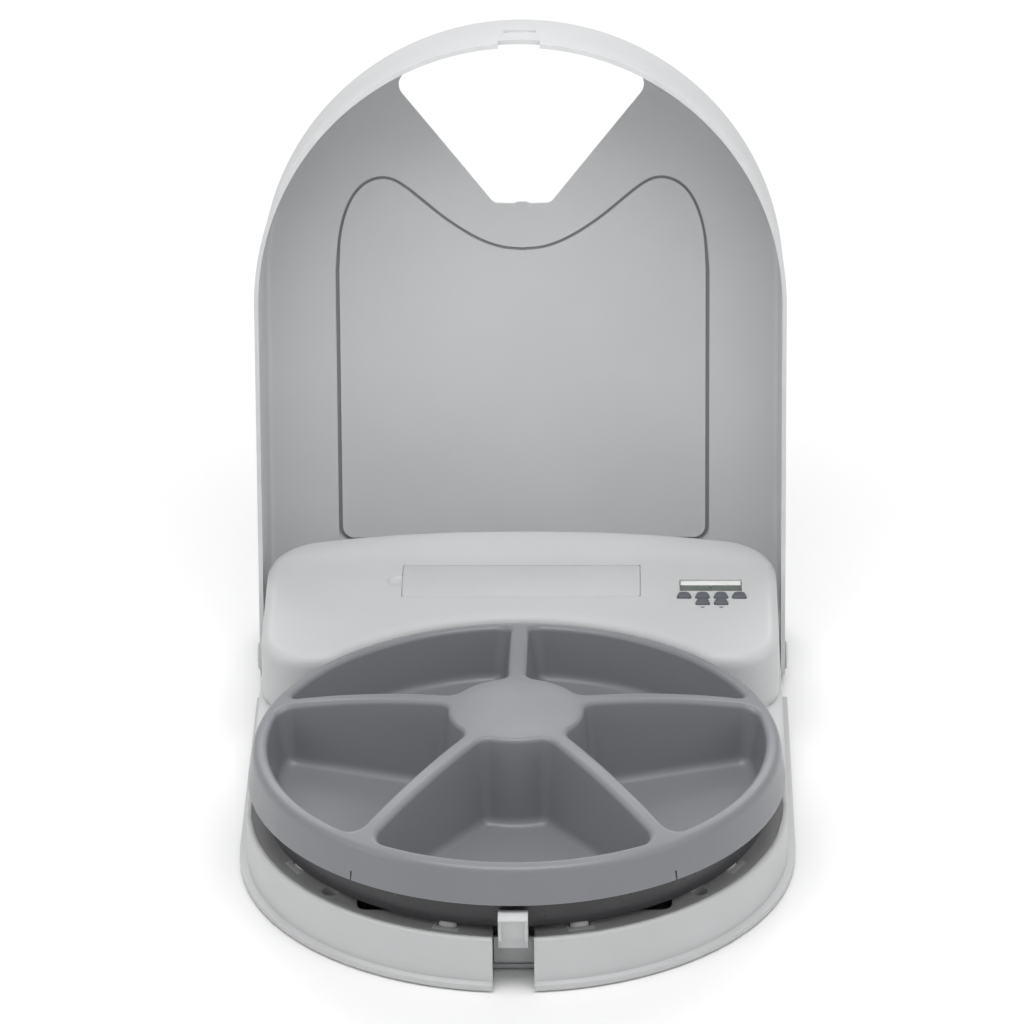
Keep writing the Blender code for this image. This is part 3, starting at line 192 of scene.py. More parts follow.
FINISHES = {
    "light_grey_plastic": moulded("shell_grey", (0.552, 0.557, 0.562), 0.46),
    "lid_grey_plastic": moulded("lid_grey", (0.575, 0.583, 0.590), 0.44),
    "panel_grey_plastic": moulded("panel_grey", (0.570, 0.578, 0.586), 0.50),
    "cover_grey_plastic": moulded("underside_grey", (0.45, 0.46, 0.47), 0.56),
    # The tray's last setting paints shade on the faces flagged under its skirt.
    "tray_grey_plastic": moulded("tray_grey", (0.218, 0.221, 0.238), 0.34, worn=0.16, painted_shade=0.80),
    "black_rubber": rubber("foot_rubber", (0.028, 0.028, 0.03)),
    "white_acetal": moulded("white_acetal", (0.80, 0.80, 0.79), 0.32, 900.0, 0.00002),
    "zinc_steel": turned_metal("zinc_steel", (0.60, 0.60, 0.62), 0.32, (1.0, 1.0, 8.0)),
    "dark_grey_key": moulded("key_grey", (0.105, 0.115, 0.13), 0.58),
    "display_glass": moulded("display_glass", (0.115, 0.135, 0.12), 0.12),
    "black_plastic": moulded("black_plastic", (0.03, 0.03, 0.032), 0.5),
    "green_board": moulded("green_board", (0.03, 0.16, 0.07), 0.4),
    "cell_wrap": moulded("cell_wrap", (0.10, 0.10, 0.11), 0.35),
}


# ------------------------------------------------------------ making pieces

def shade(obj, angle):
    for face in obj.data.polygons:
        face.use_smooth = True
    obj.data.set_sharp_from_angle(angle=math.radians(angle))


def finished(bm, name, body, slot, angle, hides=()):
    """Turn a bmesh in frame coordinates into a piece that rides on a body."""
    mesh = bpy.data.meshes.new(name)
    bm.to_mesh(mesh)
    bm.free()
    obj = bpy.data.objects.new(name, mesh)
    bpy.context.scene.collection.objects.link(obj)
    obj.data.materials.append(FINISHES[slot])
    shade(obj, angle)
    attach(obj, body)
    if hides:
        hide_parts(*hides)
    return obj


def softened(node, width, angle=34.0):
    """Copy of a node with merged corners and its hard edges rounded a little."""
    bm = bmesh.new()
    bm.from_mesh(frame["nodes"][node].data)
    bmesh.ops.remove_doubles(bm, verts=bm.verts[:], dist=0.000002)
    bmesh.ops.dissolve_limit(bm, angle_limit=math.radians(0.3), verts=bm.verts[:], edges=bm.edges[:])
    limit = math.radians(angle)
    hard = [e for e in bm.edges if len(e.link_faces) == 2 and e.calc_face_angle(0.0) > limit]
    if hard:
        bmesh.ops.bevel(bm, geom=hard, offset=width, offset_type="OFFSET", segments=2, profile=0.5,
                        affect="EDGES", clamp_overlap=True, material=-1)
    return finished(bm, node + "_skin", BODY_OF[node], SLOT_OF[node], angle, (node,))


# ------------------------------------------------------------ shape tools
# Shapes are in millimetres about the tray's axis, and TO_FRAME or OPEN_LID puts them in the frame.

def made(bm, name="tool"):
    mesh = bpy.data.meshes.new(name)
    bm.to_mesh(mesh)
    bm.free()
    obj = bpy.data.objects.new(name, mesh)
    bpy.context.scene.collection.objects.link(obj)
    return obj


def carved(bm, wall=0.0, add=(), keep=(), cut=(), soft=0.0):
    """Give a surface a wall, join, trim and cut it with other solids, and round its edges by soft."""
    obj = made(bm)
    tools = []
    if wall:
        shell = obj.modifiers.new("wall", "SOLIDIFY")
        shell.thickness = wall
        shell.offset = -1.0
        shell.use_even_offset = True
        shell.use_quality_normals = True
    for operation, solids in (("UNION", add), ("INTERSECT", keep), ("DIFFERENCE", cut)):
        for solid in solids:
            tools.append(made(solid))
            mod = obj.modifiers.new(operation.lower(), "BOOLEAN")
            mod.operation = operation
            mod.solver = "EXACT"
            mod.object = tools[-1]
    if soft:
        mod = obj.modifiers.new("soft", "BEVEL")
        mod.width = soft
        mod.segments = 2
        mod.limit_method = "ANGLE"
        mod.angle_limit = math.radians(40.0)
        mod.use_clamp_overlap = True
    bpy.context.view_layer.update()
    mesh = bpy.data.meshes.new_from_object(obj.evaluated_get(bpy.context.evaluated_depsgraph_get()))
    result = bmesh.new()
    result.from_mesh(mesh)
    for spent in [obj] + tools:
        bpy.data.objects.remove(spent, do_unlink=True)
    bmesh.ops.remove_doubles(result, verts=result.verts[:], dist=0.004)
    bmesh.ops.dissolve_degenerate(result, edges=result.edges[:], dist=0.004)
    return result


def moved(bm, matrix):
    bmesh.ops.transform(bm, matrix=matrix, verts=bm.verts[:])
    return bm


def joined(parts):
    """Several bmeshes gathered into one."""
    whole = bmesh.new()
    for part in parts:
        mesh = bpy.data.meshes.new("part")
        part.to_mesh(mesh)
        part.free()
        whole.from_mesh(mesh)
        bpy.data.meshes.remove(mesh)
    return whole


def raised(outline, low, high):
    """Solid from a plan outline; low and high are heights or functions of (x, y)."""
    bm = bmesh.new()
    base = bm.faces.new([bm.verts.new((x, y, 0.0)) for x, y in outline])
    grown = bmesh.ops.extrude_face_region(bm, geom=[base])["geom"]
    tops = {item for item in grown if isinstance(item, bmesh.types.BMVert)}
    for vert in bm.verts:
        level = high if vert in tops else low
        vert.co.z = level(vert.co.x, vert.co.y) if callable(level) else level
    bmesh.ops.recalc_face_normals(bm, faces=bm.faces[:])
    return bm


def block(x0, x1, y0, y1, z0, z1):
    return raised([(x0, y0), (x1, y0), (x1, y1), (x0, y1)], z0, z1)


def drawn_out(bm, edges):
    """Extrude open edges; gives the new edges and their vertices, ready to be placed."""
    grown = bmesh.ops.extrude_edge_only(bm, edges=edges)["geom"]
    fresh = [item for item in grown if isinstance(item, bmesh.types.BMEdge)]
    return fresh, {vert for edge in fresh for vert in edge.verts}


def face_up(bm):
    """Point the faces of an open shell the same way, with its top face upwards."""
    bmesh.ops.recalc_face_normals(bm, faces=bm.faces[:])
    if max(bm.faces, key=lambda f: f.calc_center_median().z).normal.z < 0:
        bmesh.ops.reverse_faces(bm, faces=bm.faces[:])


def sideways(outline, x0, x1):
    """Outline of (y, z) points carried across from x0 to x1."""
    solid = raised([(-z, y) for y, z in outline], x0, x1)
    return moved(solid, Matrix.Rotation(math.radians(90), 4, "Y"))


def turned(profile, steps):
    """Closed profile of (radius, height) points spun round the Z axis."""
    bm = bmesh.new()
    verts = [bm.verts.new((r, 0.0, z)) for r, z in profile]
    edges = [bm.edges.new(pair) for pair in zip(verts, verts[1:] + verts[:1])]
    bmesh.ops.spin(bm, geom=verts + edges, axis=(0, 0, 1), cent=(0, 0, 0), angle=math.tau, steps=steps,
                   use_merge=True)
    bmesh.ops.remove_doubles(bm, verts=bm.verts[:], dist=0.0005)
    bmesh.ops.recalc_face_normals(bm, faces=bm.faces[:])
    return bm


def arc(cx, cy, radius, a0, a1, steps):
    angles = (math.radians(a0 + (a1 - a0) * i / steps) for i in range(steps + 1))
    return [(cx + radius * math.cos(a), cy + radius * math.sin(a)) for a in angles]


def curve(points, steps):
    """Smooth open curve through plan points."""
    ends = [tuple(2 * a - b for a, b in zip(points[0], points[1]))]
    ends += list(points) + [tuple(2 * a - b for a, b in zip(points[-1], points[-2]))]
    out = []
    for p0, p1, p2, p3 in zip(ends, ends[1:], ends[2:], ends[3:]):
        for k in range(steps):
            t = k / steps
            out.append(tuple(0.5 * (2 * b + (c - a) * t + (2 * a - 5 * b + 4 * c - d) * t * t
                                    + (3 * b - a - 3 * c + d) * t ** 3)
                             for a, b, c, d in zip(p0, p1, p2, p3)))
    return out + [tuple(points[-1])]


# ------------------------------------------------------------ bowl tray

BOWLS = 5
REACH = math.pi / BOWLS
HUB_R = 30.0
RIM_R = 147.5
FLOOR_Z = 41.5
TRAY_CROWN_Z = 95.4
TRAY_FALL = 0.001016
TRAY_WALL = 2.3
LIP_R = 3.0
LIP_REACH = 2.6
FLOOR_FILLET = 6.0
SLIT_HALF = 0.55
SKIRT_SHADE_Z = 51.5
SKIRT_SHADE_R = 136.0


def tray_top(radius):
    return TRAY_CROWN_Z - TRAY_FALL * max(radius, HUB_R) ** 2


def fifths(shape, start):
    """The same bmesh once for each bowl, turned round the axis from a start in degrees."""
    share = 360.0 / BOWLS
    turns = [Matrix.Rotation(math.radians(start + share * k), 4, "Z") for k in range(BOWLS)]
    return [moved(shape.copy(), turn) for turn in turns]


def bowl_half(shrink):
    """Half the plan of one bowl pointing along +X, from its outer middle round to its inner middle."""
    gap = 5.0 + shrink
    inner = 38.5 + shrink
    outer = 142.5 - shrink
    bend = max(2.5, 9.0 - 0.6 * shrink)
    along = Vector((math.cos(REACH), math.sin(REACH)))
    across = Vector((along.y, -along.x))
    far = along * math.sqrt((outer - bend) ** 2 - (gap + bend) ** 2) + across * (gap + bend)
    near = along * math.sqrt((inner + bend) ** 2 - (gap + bend) ** 2) + across * (gap + bend)
    side = math.degrees(REACH) + 90.0
    far_a = math.degrees(math.atan2(far.y, far.x))
    near_a = math.degrees(math.atan2(near.y, near.x))
    parts = [arc(0, 0, outer, 0.0, far_a, 14)]
    parts.append(arc(far.x, far.y, bend, far_a, side, 12)[1:])
    start, end = far - across * bend, near - across * bend
    parts.append([tuple(start.lerp(end, k / 14)) for k in range(1, 15)])
    parts.append(arc(near.x, near.y, bend, side, near_a + 180.0, 10)[1:])
    parts.append(arc(0, 0, inner, near_a, 0.0, 5)[1:])
    return [point for part in parts for point in part]


def sector_half():
    """Edge of one bowl's share of the domed top, matched point for point to a bowl outline."""
    parts = [arc(0, 0, RIM_R, 0.0, math.degrees(REACH), 20)]
    ray = Vector((math.cos(REACH), math.sin(REACH)))
    steps = 6 + 14 + 5
    parts.append([tuple(ray * (RIM_R + (HUB_R - RIM_R) * k / steps)) for k in range(1, steps + 1)])
    parts.append(arc(0, 0, HUB_R, math.degrees(REACH), 0.0, 10)[1:])
    return [point for part in parts for point in part]


def whole_loop(half):
    return half + [(x, -y) for x, y in half[-2:0:-1]]


def bowl_loops():
    """Loops of one bowl and the top around it, from the sector edge down to the bowl floor."""
    edge = whole_loop(sector_half())
    lip = whole_loop(bowl_half(-LIP_REACH))
    loops = []
    for share in (0.0, 0.3, 0.6, 0.85, 1.0):
        plan = [(a[0] + (b[0] - a[0]) * share, a[1] + (b[1] - a[1]) * share) for a, b in zip(edge, lip)]
        loops.append([(x, y, tray_top(math.hypot(x, y))) for x, y in plan])
    tops = [tray_top(math.hypot(x, y)) for x, y in lip]
    for turn in (18, 36, 54, 72, 90):
        t = math.radians(turn)
        plan = whole_loop(bowl_half(-LIP_REACH + LIP_R * math.sin(t)))
        loops.append([(x, y, z - LIP_R * (1 - math.cos(t))) for (x, y), z in zip(plan, tops)])
    foot = FLOOR_Z + FLOOR_FILLET
    for share in (0.25, 0.5, 0.75, 1.0):
        plan = whole_loop(bowl_half(0.4 + 4.1 * share))
        loops.append([(x, y, (z - LIP_R) + (foot - z + LIP_R) * share) for (x, y), z in zip(plan, tops)])
    for turn in (18, 36, 54, 72, 90):
        t = math.radians(turn)
        plan = whole_loop(bowl_half(4.5 + 5.0 * (1 - math.cos(t))))
        loops.append([(x, y, FLOOR_Z + FLOOR_FILLET * (1 - math.sin(t))) for x, y in plan])
    return loops


def bridged(loops):
    """Surface through matching closed loops, the last one filled."""
    bm = bmesh.new()
    rows = []
    for loop in loops:
        verts = [bm.verts.new(point) for point in loop]
        rows.append([bm.edges.new(pair) for pair in zip(verts, verts[1:] + verts[:1])])
    for upper, lower in zip(rows, rows[1:]):
        bmesh.ops.bridge_loops(bm, edges=upper + lower)
    bmesh.ops.contextual_create(bm, geom=rows[-1])
    return bm


def tray():
    top = joined(fifths(bridged(bowl_loops()), 270.0))
    bmesh.ops.remove_doubles(top, verts=top.verts[:], dist=0.01)
    rims = [e for e in top.edges if e.is_boundary]
    hub = [e for e in rims if e.verts[0].co.xy.length < HUB_R + 1.0]
    bmesh.ops.contextual_create(top, geom=hub)
    edge = [e for e in top.edges if e.is_boundary]
    skirt = ((148.6, 72.9), (149.6, 72.2), (150.4, 71.2), (151.0, 69.8), (151.35, 68.2), (151.75, 65.4),
             (152.9, 58.6), (153.85, 52.4), (153.9, 51.9))
    for radius, height in skirt:
        edge, verts = drawn_out(top, edge)
        for vert in verts:
            vert.co.xy = vert.co.xy.normalized() * radius
            vert.co.z = height
    face_up(top)
    track = turned([(132.5, 33.3), (133.0, 32.95), (143.0, 32.95), (143.5, 33.3), (143.5, 48.0),
                    (141.2, 48.0), (141.2, 40.4), (132.5, 40.4)], 160)
    socket = turned([(9.0, 72.5), (14.6, 72.5), (15.0, 72.9), (15.0, 92.0), (9.0, 92.0)], 64)
    pair = joined([block(14.0, 34.0, side - 0.8, side + 0.8, 76.0, 92.6) for side in (-4.0, 4.0)])
    ribs = joined(fifths(pair, 90.0))
    slits = joined(fifths(block(149.5, 158.0, -SLIT_HALF, SLIT_HALF, 48.0, 57.2), 90.0))
    return carved(top, wall=TRAY_WALL, add=[track, socket, ribs], cut=[slits])


def mark_painted_shade(obj, level, radius):
    """Flag the faces below a level that look down or lie outside a radius, to paint shade under the skirt.
    """
    mesh = obj.data
    flag = mesh.attributes.new("underside", "FLOAT", "FACE")
    for face, item in zip(mesh.polygons, flag.data):
        place = (face.center - AXIS) / MM
        outward = Vector((place.x, place.y, 0.0)).normalized().dot(face.normal)
        outside = place.xy.length > radius + 3.3 or (place.xy.length > radius and outward > 0.1)
        below = place.z < level and (face.normal.z < -0.3 or outside)
        item.value = 1.0 if below else 0.0


TRAY = finished(moved(tray(), TO_FRAME), "tray", "tray", "tray_grey_plastic", 38.0, ("bowl_tray",))
# Painted shade under the tray's skirt: it rides with the tray and stays dark when the tray lifts.
mark_painted_shade(TRAY, SKIRT_SHADE_Z, SKIRT_SHADE_R)


# ------------------------------------------------------------ rear housing

HOUSING_X = 153.6
REAR_Y = 249.0
CORNER_R = 30.0
HOUSING_BASE = 31.6
HOUSING_WALL = 2.6
TOP_ROUND = 7.0
HOLLOW_R = 157.6
FACE_SLOPE = 0.08
FACE_Z = 72.7
RISER_Y = 224.0
RISER_SLOPE = 0.5
CROWN_Z = 88.3
CROWN_FALL = 0.000507
DOOR_SEAT = (71.6, 181.2, 217.4)     # half width, front and back
DOOR_HOLE = (68.6, 183.2, 215.4)
WINDOW_X = (95.0, 132.3)
WINDOW_Y = (187.4, 200.8)
SCOOP_AT = (-72.2, 199.4)


def face_z(y):
    """Height of the housing's sloping face."""
    return FACE_Z + FACE_SLOPE * (y - HOLLOW_R)


def blend(a, b, reach):
    """Larger of two heights, smoothed over a reach where they meet; swap signs for the smaller."""
    return 0.5 * (a + b + math.sqrt((a - b) ** 2 + reach ** 2))


def housing_top(x, y):
    riser = face_z(RISER_Y) + RISER_SLOPE * (y - RISER_Y)
    slope = blend(face_z(y), riser, 0.9)
    crown = CROWN_Z - CROWN_FALL * x * x
    return -blend(-slope, -crown, 2.2)


def front_edge():
    """Front plan of the housing: rounded horns either side of a hollow that follows the tray."""
    horn = [(HOUSING_X, 142.5), (152.2, 131.8), (147.2, 122.0), (139.8, 115.8), (130.6, 112.7),
            (121.6, 112.2), (112.8, 113.4), (105.8, 116.8)]
    right = curve(horn, 7)
    start = math.degrees(math.atan2(horn[-1][1], horn[-1][0]))
    hollow = arc(0, 0, HOLLOW_R, start, 180.0 - start, 90)[1:-1]
    return [(-x, y) for x, y in right] + hollow[::-1] + right[::-1]


def rear_edge(x):
    over = max(0.0, abs(x) - (HOUSING_X - CORNER_R))
    return REAR_Y - CORNER_R + math.sqrt(max(0.0, CORNER_R ** 2 - over ** 2))


def edge_distance(point, outline):
    """Shortest way from a point to an outline of (start, end) pairs."""
    best = math.inf
    for a, b in outline:
        way = b - a
        t = max(0.0, min(1.0, (point - a).dot(way) / max(way.length_squared, 1e-9)))
        best = min(best, (a + way * t - point).length_squared)
    return math.sqrt(best)


def housing():
    front = front_edge()
    columns = len(front)
    shares = [0.0, 0.003, 0.008, 0.015, 0.024, 0.034, 0.046, 0.06, 0.08]
    shares += [0.08 + 0.84 * k / 30 for k in range(1, 30)]
    shares += [1.0 - s for s in shares[8::-1]]
    bm = bmesh.new()
    sheet = bmesh.ops.create_grid(bm, x_segments=columns - 1, y_segments=len(shares) - 1, size=1.0)
    border = front + [(x, rear_edge(x)) for x, _ in reversed(front)]
    outline = [(Vector(a), Vector(b)) for a, b in zip(border, border[1:] + border[:1])]
    ordered = sorted(sheet["verts"], key=lambda v: (round(v.co.y, 5), v.co.x))
    for index, vert in enumerate(ordered):
        x, near = front[index % columns]
        y = near + (rear_edge(x) - near) * shares[index // columns]
        inside = edge_distance(Vector((x, y)), outline)
        drop = TOP_ROUND - math.sqrt(max(0.0, TOP_ROUND ** 2 - max(0.0, TOP_ROUND - inside) ** 2))
        vert.co = (x, y, housing_top(x, y) - drop)
    bmesh.ops.remove_doubles(bm, verts=bm.verts[:], dist=0.01)
    edge = [e for e in bm.edges if e.is_boundary]
    for height in (60.0, 45.0, HOUSING_BASE):
        edge, verts = drawn_out(bm, edge)
        for vert in verts:
            vert.co.z = height
    face_up(bm)
    return carved(bm, wall=HOUSING_WALL, cut=housing_cuts())


def on_face(low, high):
    """Two heights that follow the sloping face, this far above it."""
    return lambda x, y: face_z(y) + low, lambda x, y: face_z(y) + high


def plate(x0, x1, y0, y1, low, high):
    """Flat plate lying along the slope of the housing face."""
    return raised([(x0, y0), (x1, y0), (x1, y1), (x0, y1)], *on_face(low, high))


KEYS = [(97.6 + 11.0 * k, 181.9) for k in range(4)] + [(108.6 + 11.0 * k, 174.6) for k in range(2)]


def key_plan(x, y, grow=0.0):
    """Plan of a key: a flat front and sides that draw in to a rounded back."""
    w, d = 4.2 + grow, 3.3 + grow
    half = curve([(0.0, -d), (w - 1.3, -d), (w - 0.3, 0.5 - d), (w, 1.5 - d), (w * 0.93, -0.2),
                  (w * 0.78, d * 0.55), (w * 0.5, d * 0.9), (0.0, d)], 3)
    return [(x + a, y + b) for a, b in half] + [(x - a, y + b) for a, b in half[-2:0:-1]]


def housing_cuts():
    """Seat and hole for the battery door, display window, key holes and the door's finger scoop."""
    through = (-12.0, 3.0)
    seat = plate(-DOOR_SEAT[0], *DOOR_SEAT, -2.5, 8.0)
    hole = plate(-DOOR_HOLE[0], *DOOR_HOLE, *through)
    window = plate(*WINDOW_X, *WINDOW_Y, *through)
    keys = joined([raised(key_plan(x, y, 0.3), *on_face(*through)) for x, y in KEYS])
    dish = [(0.0, -5.0), (2.2, -4.6), (4.2, -3.2), (5.4, -1.6), (6.0, 0.0), (6.5, 3.0), (0.0, 3.0)]
    scoop = moved(turned(dish, 48), Matrix.Diagonal((1.45, 1.15, 0.5, 1.0)))
    moved(scoop, Matrix.Translation((*SCOOP_AT, face_z(SCOOP_AT[1]))))
    return [seat, hole, window, keys, scoop]


finished(moved(housing(), TO_FRAME), "housing", "base", "light_grey_plastic", 40.0, ("rear_housing",))


# ------------------------------------------------------------ lid and its inner panel

LID_R = 159.2
LID_REAR = 215.0
LID_WALL = 2.6
LID_LOW_EDGE = 5.0
LID_FILLET = 6.0
LID_CREST_Z = 100.5
LID_FALL = 0.00034
FOOT_R = 12.5
PIN_HOLE_R = 3.5
WINDOW_R = 144.8
PANEL_HALF = 112.6
PANEL_REAR = 166.8
PANEL_DEPTH = 1.5
PANEL_WALL = 1.5
RECESS_HALF = 113.2
RECESS_REAR = 240.0


def lid_top(distance):
    """Height of the shut lid's crown at a distance from the middle line of the lid."""
    return LID_CREST_Z - LID_FALL * distance ** 2


def lid_profile():
    """(distance inwards, height) points from the free edge up over the fillet to the crown."""
    centre = lid_top(LID_R - LID_FILLET) - LID_FILLET
    points = [(0.0, LID_LOW_EDGE), (0.0, centre * 0.5), (0.0, centre)]
    for k in range(1, 10):
        t = math.radians(10.0 * k)
        points.append((LID_FILLET - LID_FILLET * math.cos(t), centre + LID_FILLET * math.sin(t)))
    return points + [(d, lid_top(LID_R - d)) for d in (12.0 + 7.36 * k for k in range(21))]


def lid_sheet(profile, rear):
    """Profile carried round the half-circle front by a spin and back along both straight sides."""
    bm = bmesh.new()
    verts = [bm.verts.new((d - LID_R, 0.0, z)) for d, z in profile]
    edges = [bm.edges.new(pair) for pair in zip(verts, verts[1:])]
    bmesh.ops.spin(bm, geom=verts + edges, axis=(0, 0, 1), cent=(0, 0, 0), angle=math.pi, steps=120)
    bmesh.ops.remove_doubles(bm, verts=bm.verts[:], dist=0.0005)
    ends = [e for e in bm.edges if e.is_boundary and max(abs(v.co.y) for v in e.verts) < 0.001]
    for _ in range(10):
        ends, verts = drawn_out(bm, ends)
        for vert in verts:
            vert.co.y += rear / 10.0
    bmesh.ops.remove_doubles(bm, verts=bm.verts[:], dist=0.0005)
    face_up(bm)
    return bm


def crosswise(radius, x0, x1):
    """Cylinder on the hinge's axis, from x0 to x1."""
    bm = bmesh.new()
    bmesh.ops.create_circle(bm, cap_ends=True, segments=48, radius=radius)
    grown = bmesh.ops.extrude_face_region(bm, geom=bm.faces[:])["geom"]
    far = [item for item in grown if isinstance(item, bmesh.types.BMVert)]
    bmesh.ops.translate(bm, vec=(0, 0, x1 - x0), verts=far)
    bmesh.ops.recalc_face_normals(bm, faces=bm.faces[:])
    return moved(bm, Matrix.Translation((x0, *HINGE_AT)) @ Matrix.Rotation(math.radians(90), 4, "Y"))


def window_plan():
    """Wedge opening with rounded corners and a shallow bump at its point."""
    front = [(x, y, 0.0) for x, y in arc(0, 0, WINDOW_R, -117.0, -63.0, 24)]
    foot = [(17.4, -44.0, 6.0), (5.0, -43.6, 3.0), (2.6, -44.6, 0.0), (-2.6, -44.6, 0.0),
            (-5.0, -43.6, 3.0), (-17.4, -44.0, 6.0)]
    return rounded([(-78.6, -120.8, 9.0)] + front + [(78.6, -120.8, 9.0)] + foot, 12)


def rounded(corners, steps):
    """Outline from (x, y, radius) corners."""
    points = []
    for i, (x, y, radius) in enumerate(corners):
        here = Vector((x, y))
        back = (Vector(corners[i - 1][:2]) - here).normalized()
        ahead = (Vector(corners[(i + 1) % len(corners)][:2]) - here).normalized()
        half = back.angle(ahead) / 2
        if radius <= 0.0 or half > 1.55:
            points.append((x, y))
            continue
        centre = here + (back + ahead).normalized() * (radius / math.sin(half))
        start = here + back * (radius / math.tan(half)) - centre
        turn = (math.pi - 2 * half) * (1.0 if back.cross(ahead) < 0 else -1.0)
        for k in range(steps + 1):
            points.append(tuple(centre + Matrix.Rotation(turn * k / steps, 2) @ start))
    return points


def panel_plan(side, rear, grow=0.0):
    """Panel outline: two humps with a hollow between them, straight sides and rounded rear corners."""
    half = curve([(0.0, -15.0), (12.0, -16.2), (24.0, -20.2), (36.0, -26.8), (48.0, -35.2),
                  (60.0, -45.2), (70.0, -53.6), (78.0, -58.8), (85.0, -60.4), (92.0, -59.0),
                  (98.5, -54.8), (104.0, -47.6), (108.4, -37.0), (111.4, -23.0), (side, -3.0)], 4)
    half += arc(side - 8.0, rear - 8.0, 8.0, 0.0, 90.0, 8)
    outline = half + [(-x, y) for x, y in reversed(half) if x > 0.0]
    count = len(outline)
    moved_out = []
    for i, point in enumerate(outline):
        way = Vector(outline[(i + 1) % count]) - Vector(outline[i - 1])
        moved_out.append(tuple(Vector(point) + Vector((way.y, -way.x)).normalized() * grow))
    return moved_out


def lid_layer(near, far):
    """Solid layer of the crown between two depths below its outer face."""
    top = [(d, lid_top(LID_R - d) - near) for d in (14.0 + 7.26 * k for k in range(21))]
    return carved(lid_sheet(top, LID_REAR + 12.0), wall=far - near)


def lid():
    """Shell with its two hinge feet, feeding window, latch slot, finger notch and recess for the panel."""
    shell = lid_sheet(lid_profile(), LID_REAR)
    web = [(189.5, 5.0), (215.5, 3.8), (231.4, 19.5), (228.6, 31.0), (222.0, 46.0), (215.0, 60.0),
           (189.5, 60.0)]
    feet = []
    for side in (-1, 1):
        x0, x1 = sorted((side * (LID_R - LID_WALL), side * LID_R))
        feet.append(crosswise(FOOT_R, x0, x1))
        feet.append(sideways(web, x0, x1))
    pins = joined([crosswise(PIN_HOLE_R, *sorted((side * 150.0, side * 165.0))) for side in (-1, 1)])
    recess = carved(lid_layer(1.0, 9.0), keep=[panel_tool(RECESS_HALF, RECESS_REAR, 1.2)])
    window = raised(window_plan(), 60.0, 140.0)
    latch_slot = block(-9.6, 9.6, -175.0, -150.0, 43.2, 50.4)
    finger_notch = block(-12.4, 12.4, -175.0, -150.0, 0.0, 17.0)
    return carved(shell, wall=LID_WALL, add=feet, cut=[window, latch_slot, finger_notch, pins, recess])


def panel_tool(side, rear, grow):
    """Upright solid on the panel's outline, tall enough to trim any layer of the crown."""
    return raised(panel_plan(side, rear, grow), 40.0, 140.0)


def panel():
    plate_layer = lid_layer(PANEL_DEPTH, PANEL_DEPTH + PANEL_WALL)
    return carved(plate_layer, keep=[panel_tool(PANEL_HALF, PANEL_REAR, -0.6)])


def panel_groove_shade():
    """Dark strip at the foot of the groove round the panel: painted shade standing in for the groove's
    shadow.
    """
    return carved(lid_layer(1.1, 1.7), keep=[panel_tool(RECESS_HALF, PANEL_REAR, 1.0)],
                  cut=[panel_tool(PANEL_HALF, PANEL_REAR, -0.9)])


finished(moved(lid(), OPEN_LID), "lid", "lid", "lid_grey_plastic", 38.0, ("lid_shell",))
finished(moved(panel(), OPEN_LID), "inner_panel", "lid", "panel_grey_plastic", 38.0, ("lid_panel",))
# Painted shade: a dark strip laid in the groove where its shadow falls.
finished(moved(panel_groove_shade(), OPEN_LID), "panel_groove_shade", "lid", "tray_grey_plastic", 38.0)


# ------------------------------------------------------------ latch, keys, display and rollers

NOTCH_Y = -134.0
LATCH_TOP = 47.4
STEM_HALF = 8.3
PAD_HALF = 11.2
POCKET_HALF = 6.2
SPRING_Z = 15.0


def latch():
    """Finger pad in the notch, stem with a pocket, hook at the top and the seat of its spring."""
    back = NOTCH_Y + 4.6
    stem = [(NOTCH_Y, 20.2), (back, 20.2), (back, 27.0), (-141.0, 30.0), (-148.6, 31.4),
            (-149.4, LATCH_TOP - 0.8), (-150.6, LATCH_TOP), (-154.6, LATCH_TOP),
            (-158.4, LATCH_TOP - 2.6), (-158.4, LATCH_TOP - 3.4), (-153.6, LATCH_TOP - 3.4),
            (-153.6, 29.0), (-149.0, 28.2), (-149.0, 22.4)]
    pad = [(NOTCH_Y, 4.4), (back - 2.0, 4.4), (back - 2.0, 21.0), (NOTCH_Y, 21.0)]
    pocket = [(-170.0, 24.0), (-149.4, 24.0), (-149.8, 29.0), (-151.9, 33.6), (-152.2, LATCH_TOP - 4.6),
              (-170.0, LATCH_TOP - 4.6)]
    lying = Matrix.Translation((0, NOTCH_Y, SPRING_Z)) @ Matrix.Rotation(math.radians(-90), 4, "X")
    seat = moved(turned([(0.0, 1.8), (3.2, 1.8), (3.2, 8.0), (0.0, 8.0)], 32), lying)
    return carved(sideways(stem, -STEM_HALF, STEM_HALF), add=[sideways(pad, -PAD_HALF, PAD_HALF)],
                  cut=[sideways(pocket, -POCKET_HALF, POCKET_HALF), seat], soft=0.35)


finished(moved(latch(), TO_FRAME), "latch", "latch", "light_grey_plastic", 34.0, ("lid_latch",))


def key(x, y):
    """Domed key cap standing through the face of the housing."""
    loops = [[(a, b, face_z(b) + rise) for a, b in key_plan(x, y, grow)]
             for grow, rise in ((0.0, -5.0), (0.0, 0.3), (-0.12, 0.65), (-0.4, 0.95), (-0.9, 1.1))]
    bm = bridged(loops)
    bmesh.ops.contextual_create(bm, geom=[e for e in bm.edges if e.is_boundary])
    bmesh.ops.recalc_face_normals(bm, faces=bm.faces[:])
    return bm


KEY_NAMES = ["key_upper_%d" % (k + 1) for k in range(4)] + ["key_lower_%d" % (k + 1) for k in range(2)]
for name, (x, y) in zip(KEY_NAMES, KEYS):
    finished(moved(key(x, y), TO_FRAME), name + "_cap", name, "dark_grey_key", 40.0, (name,))


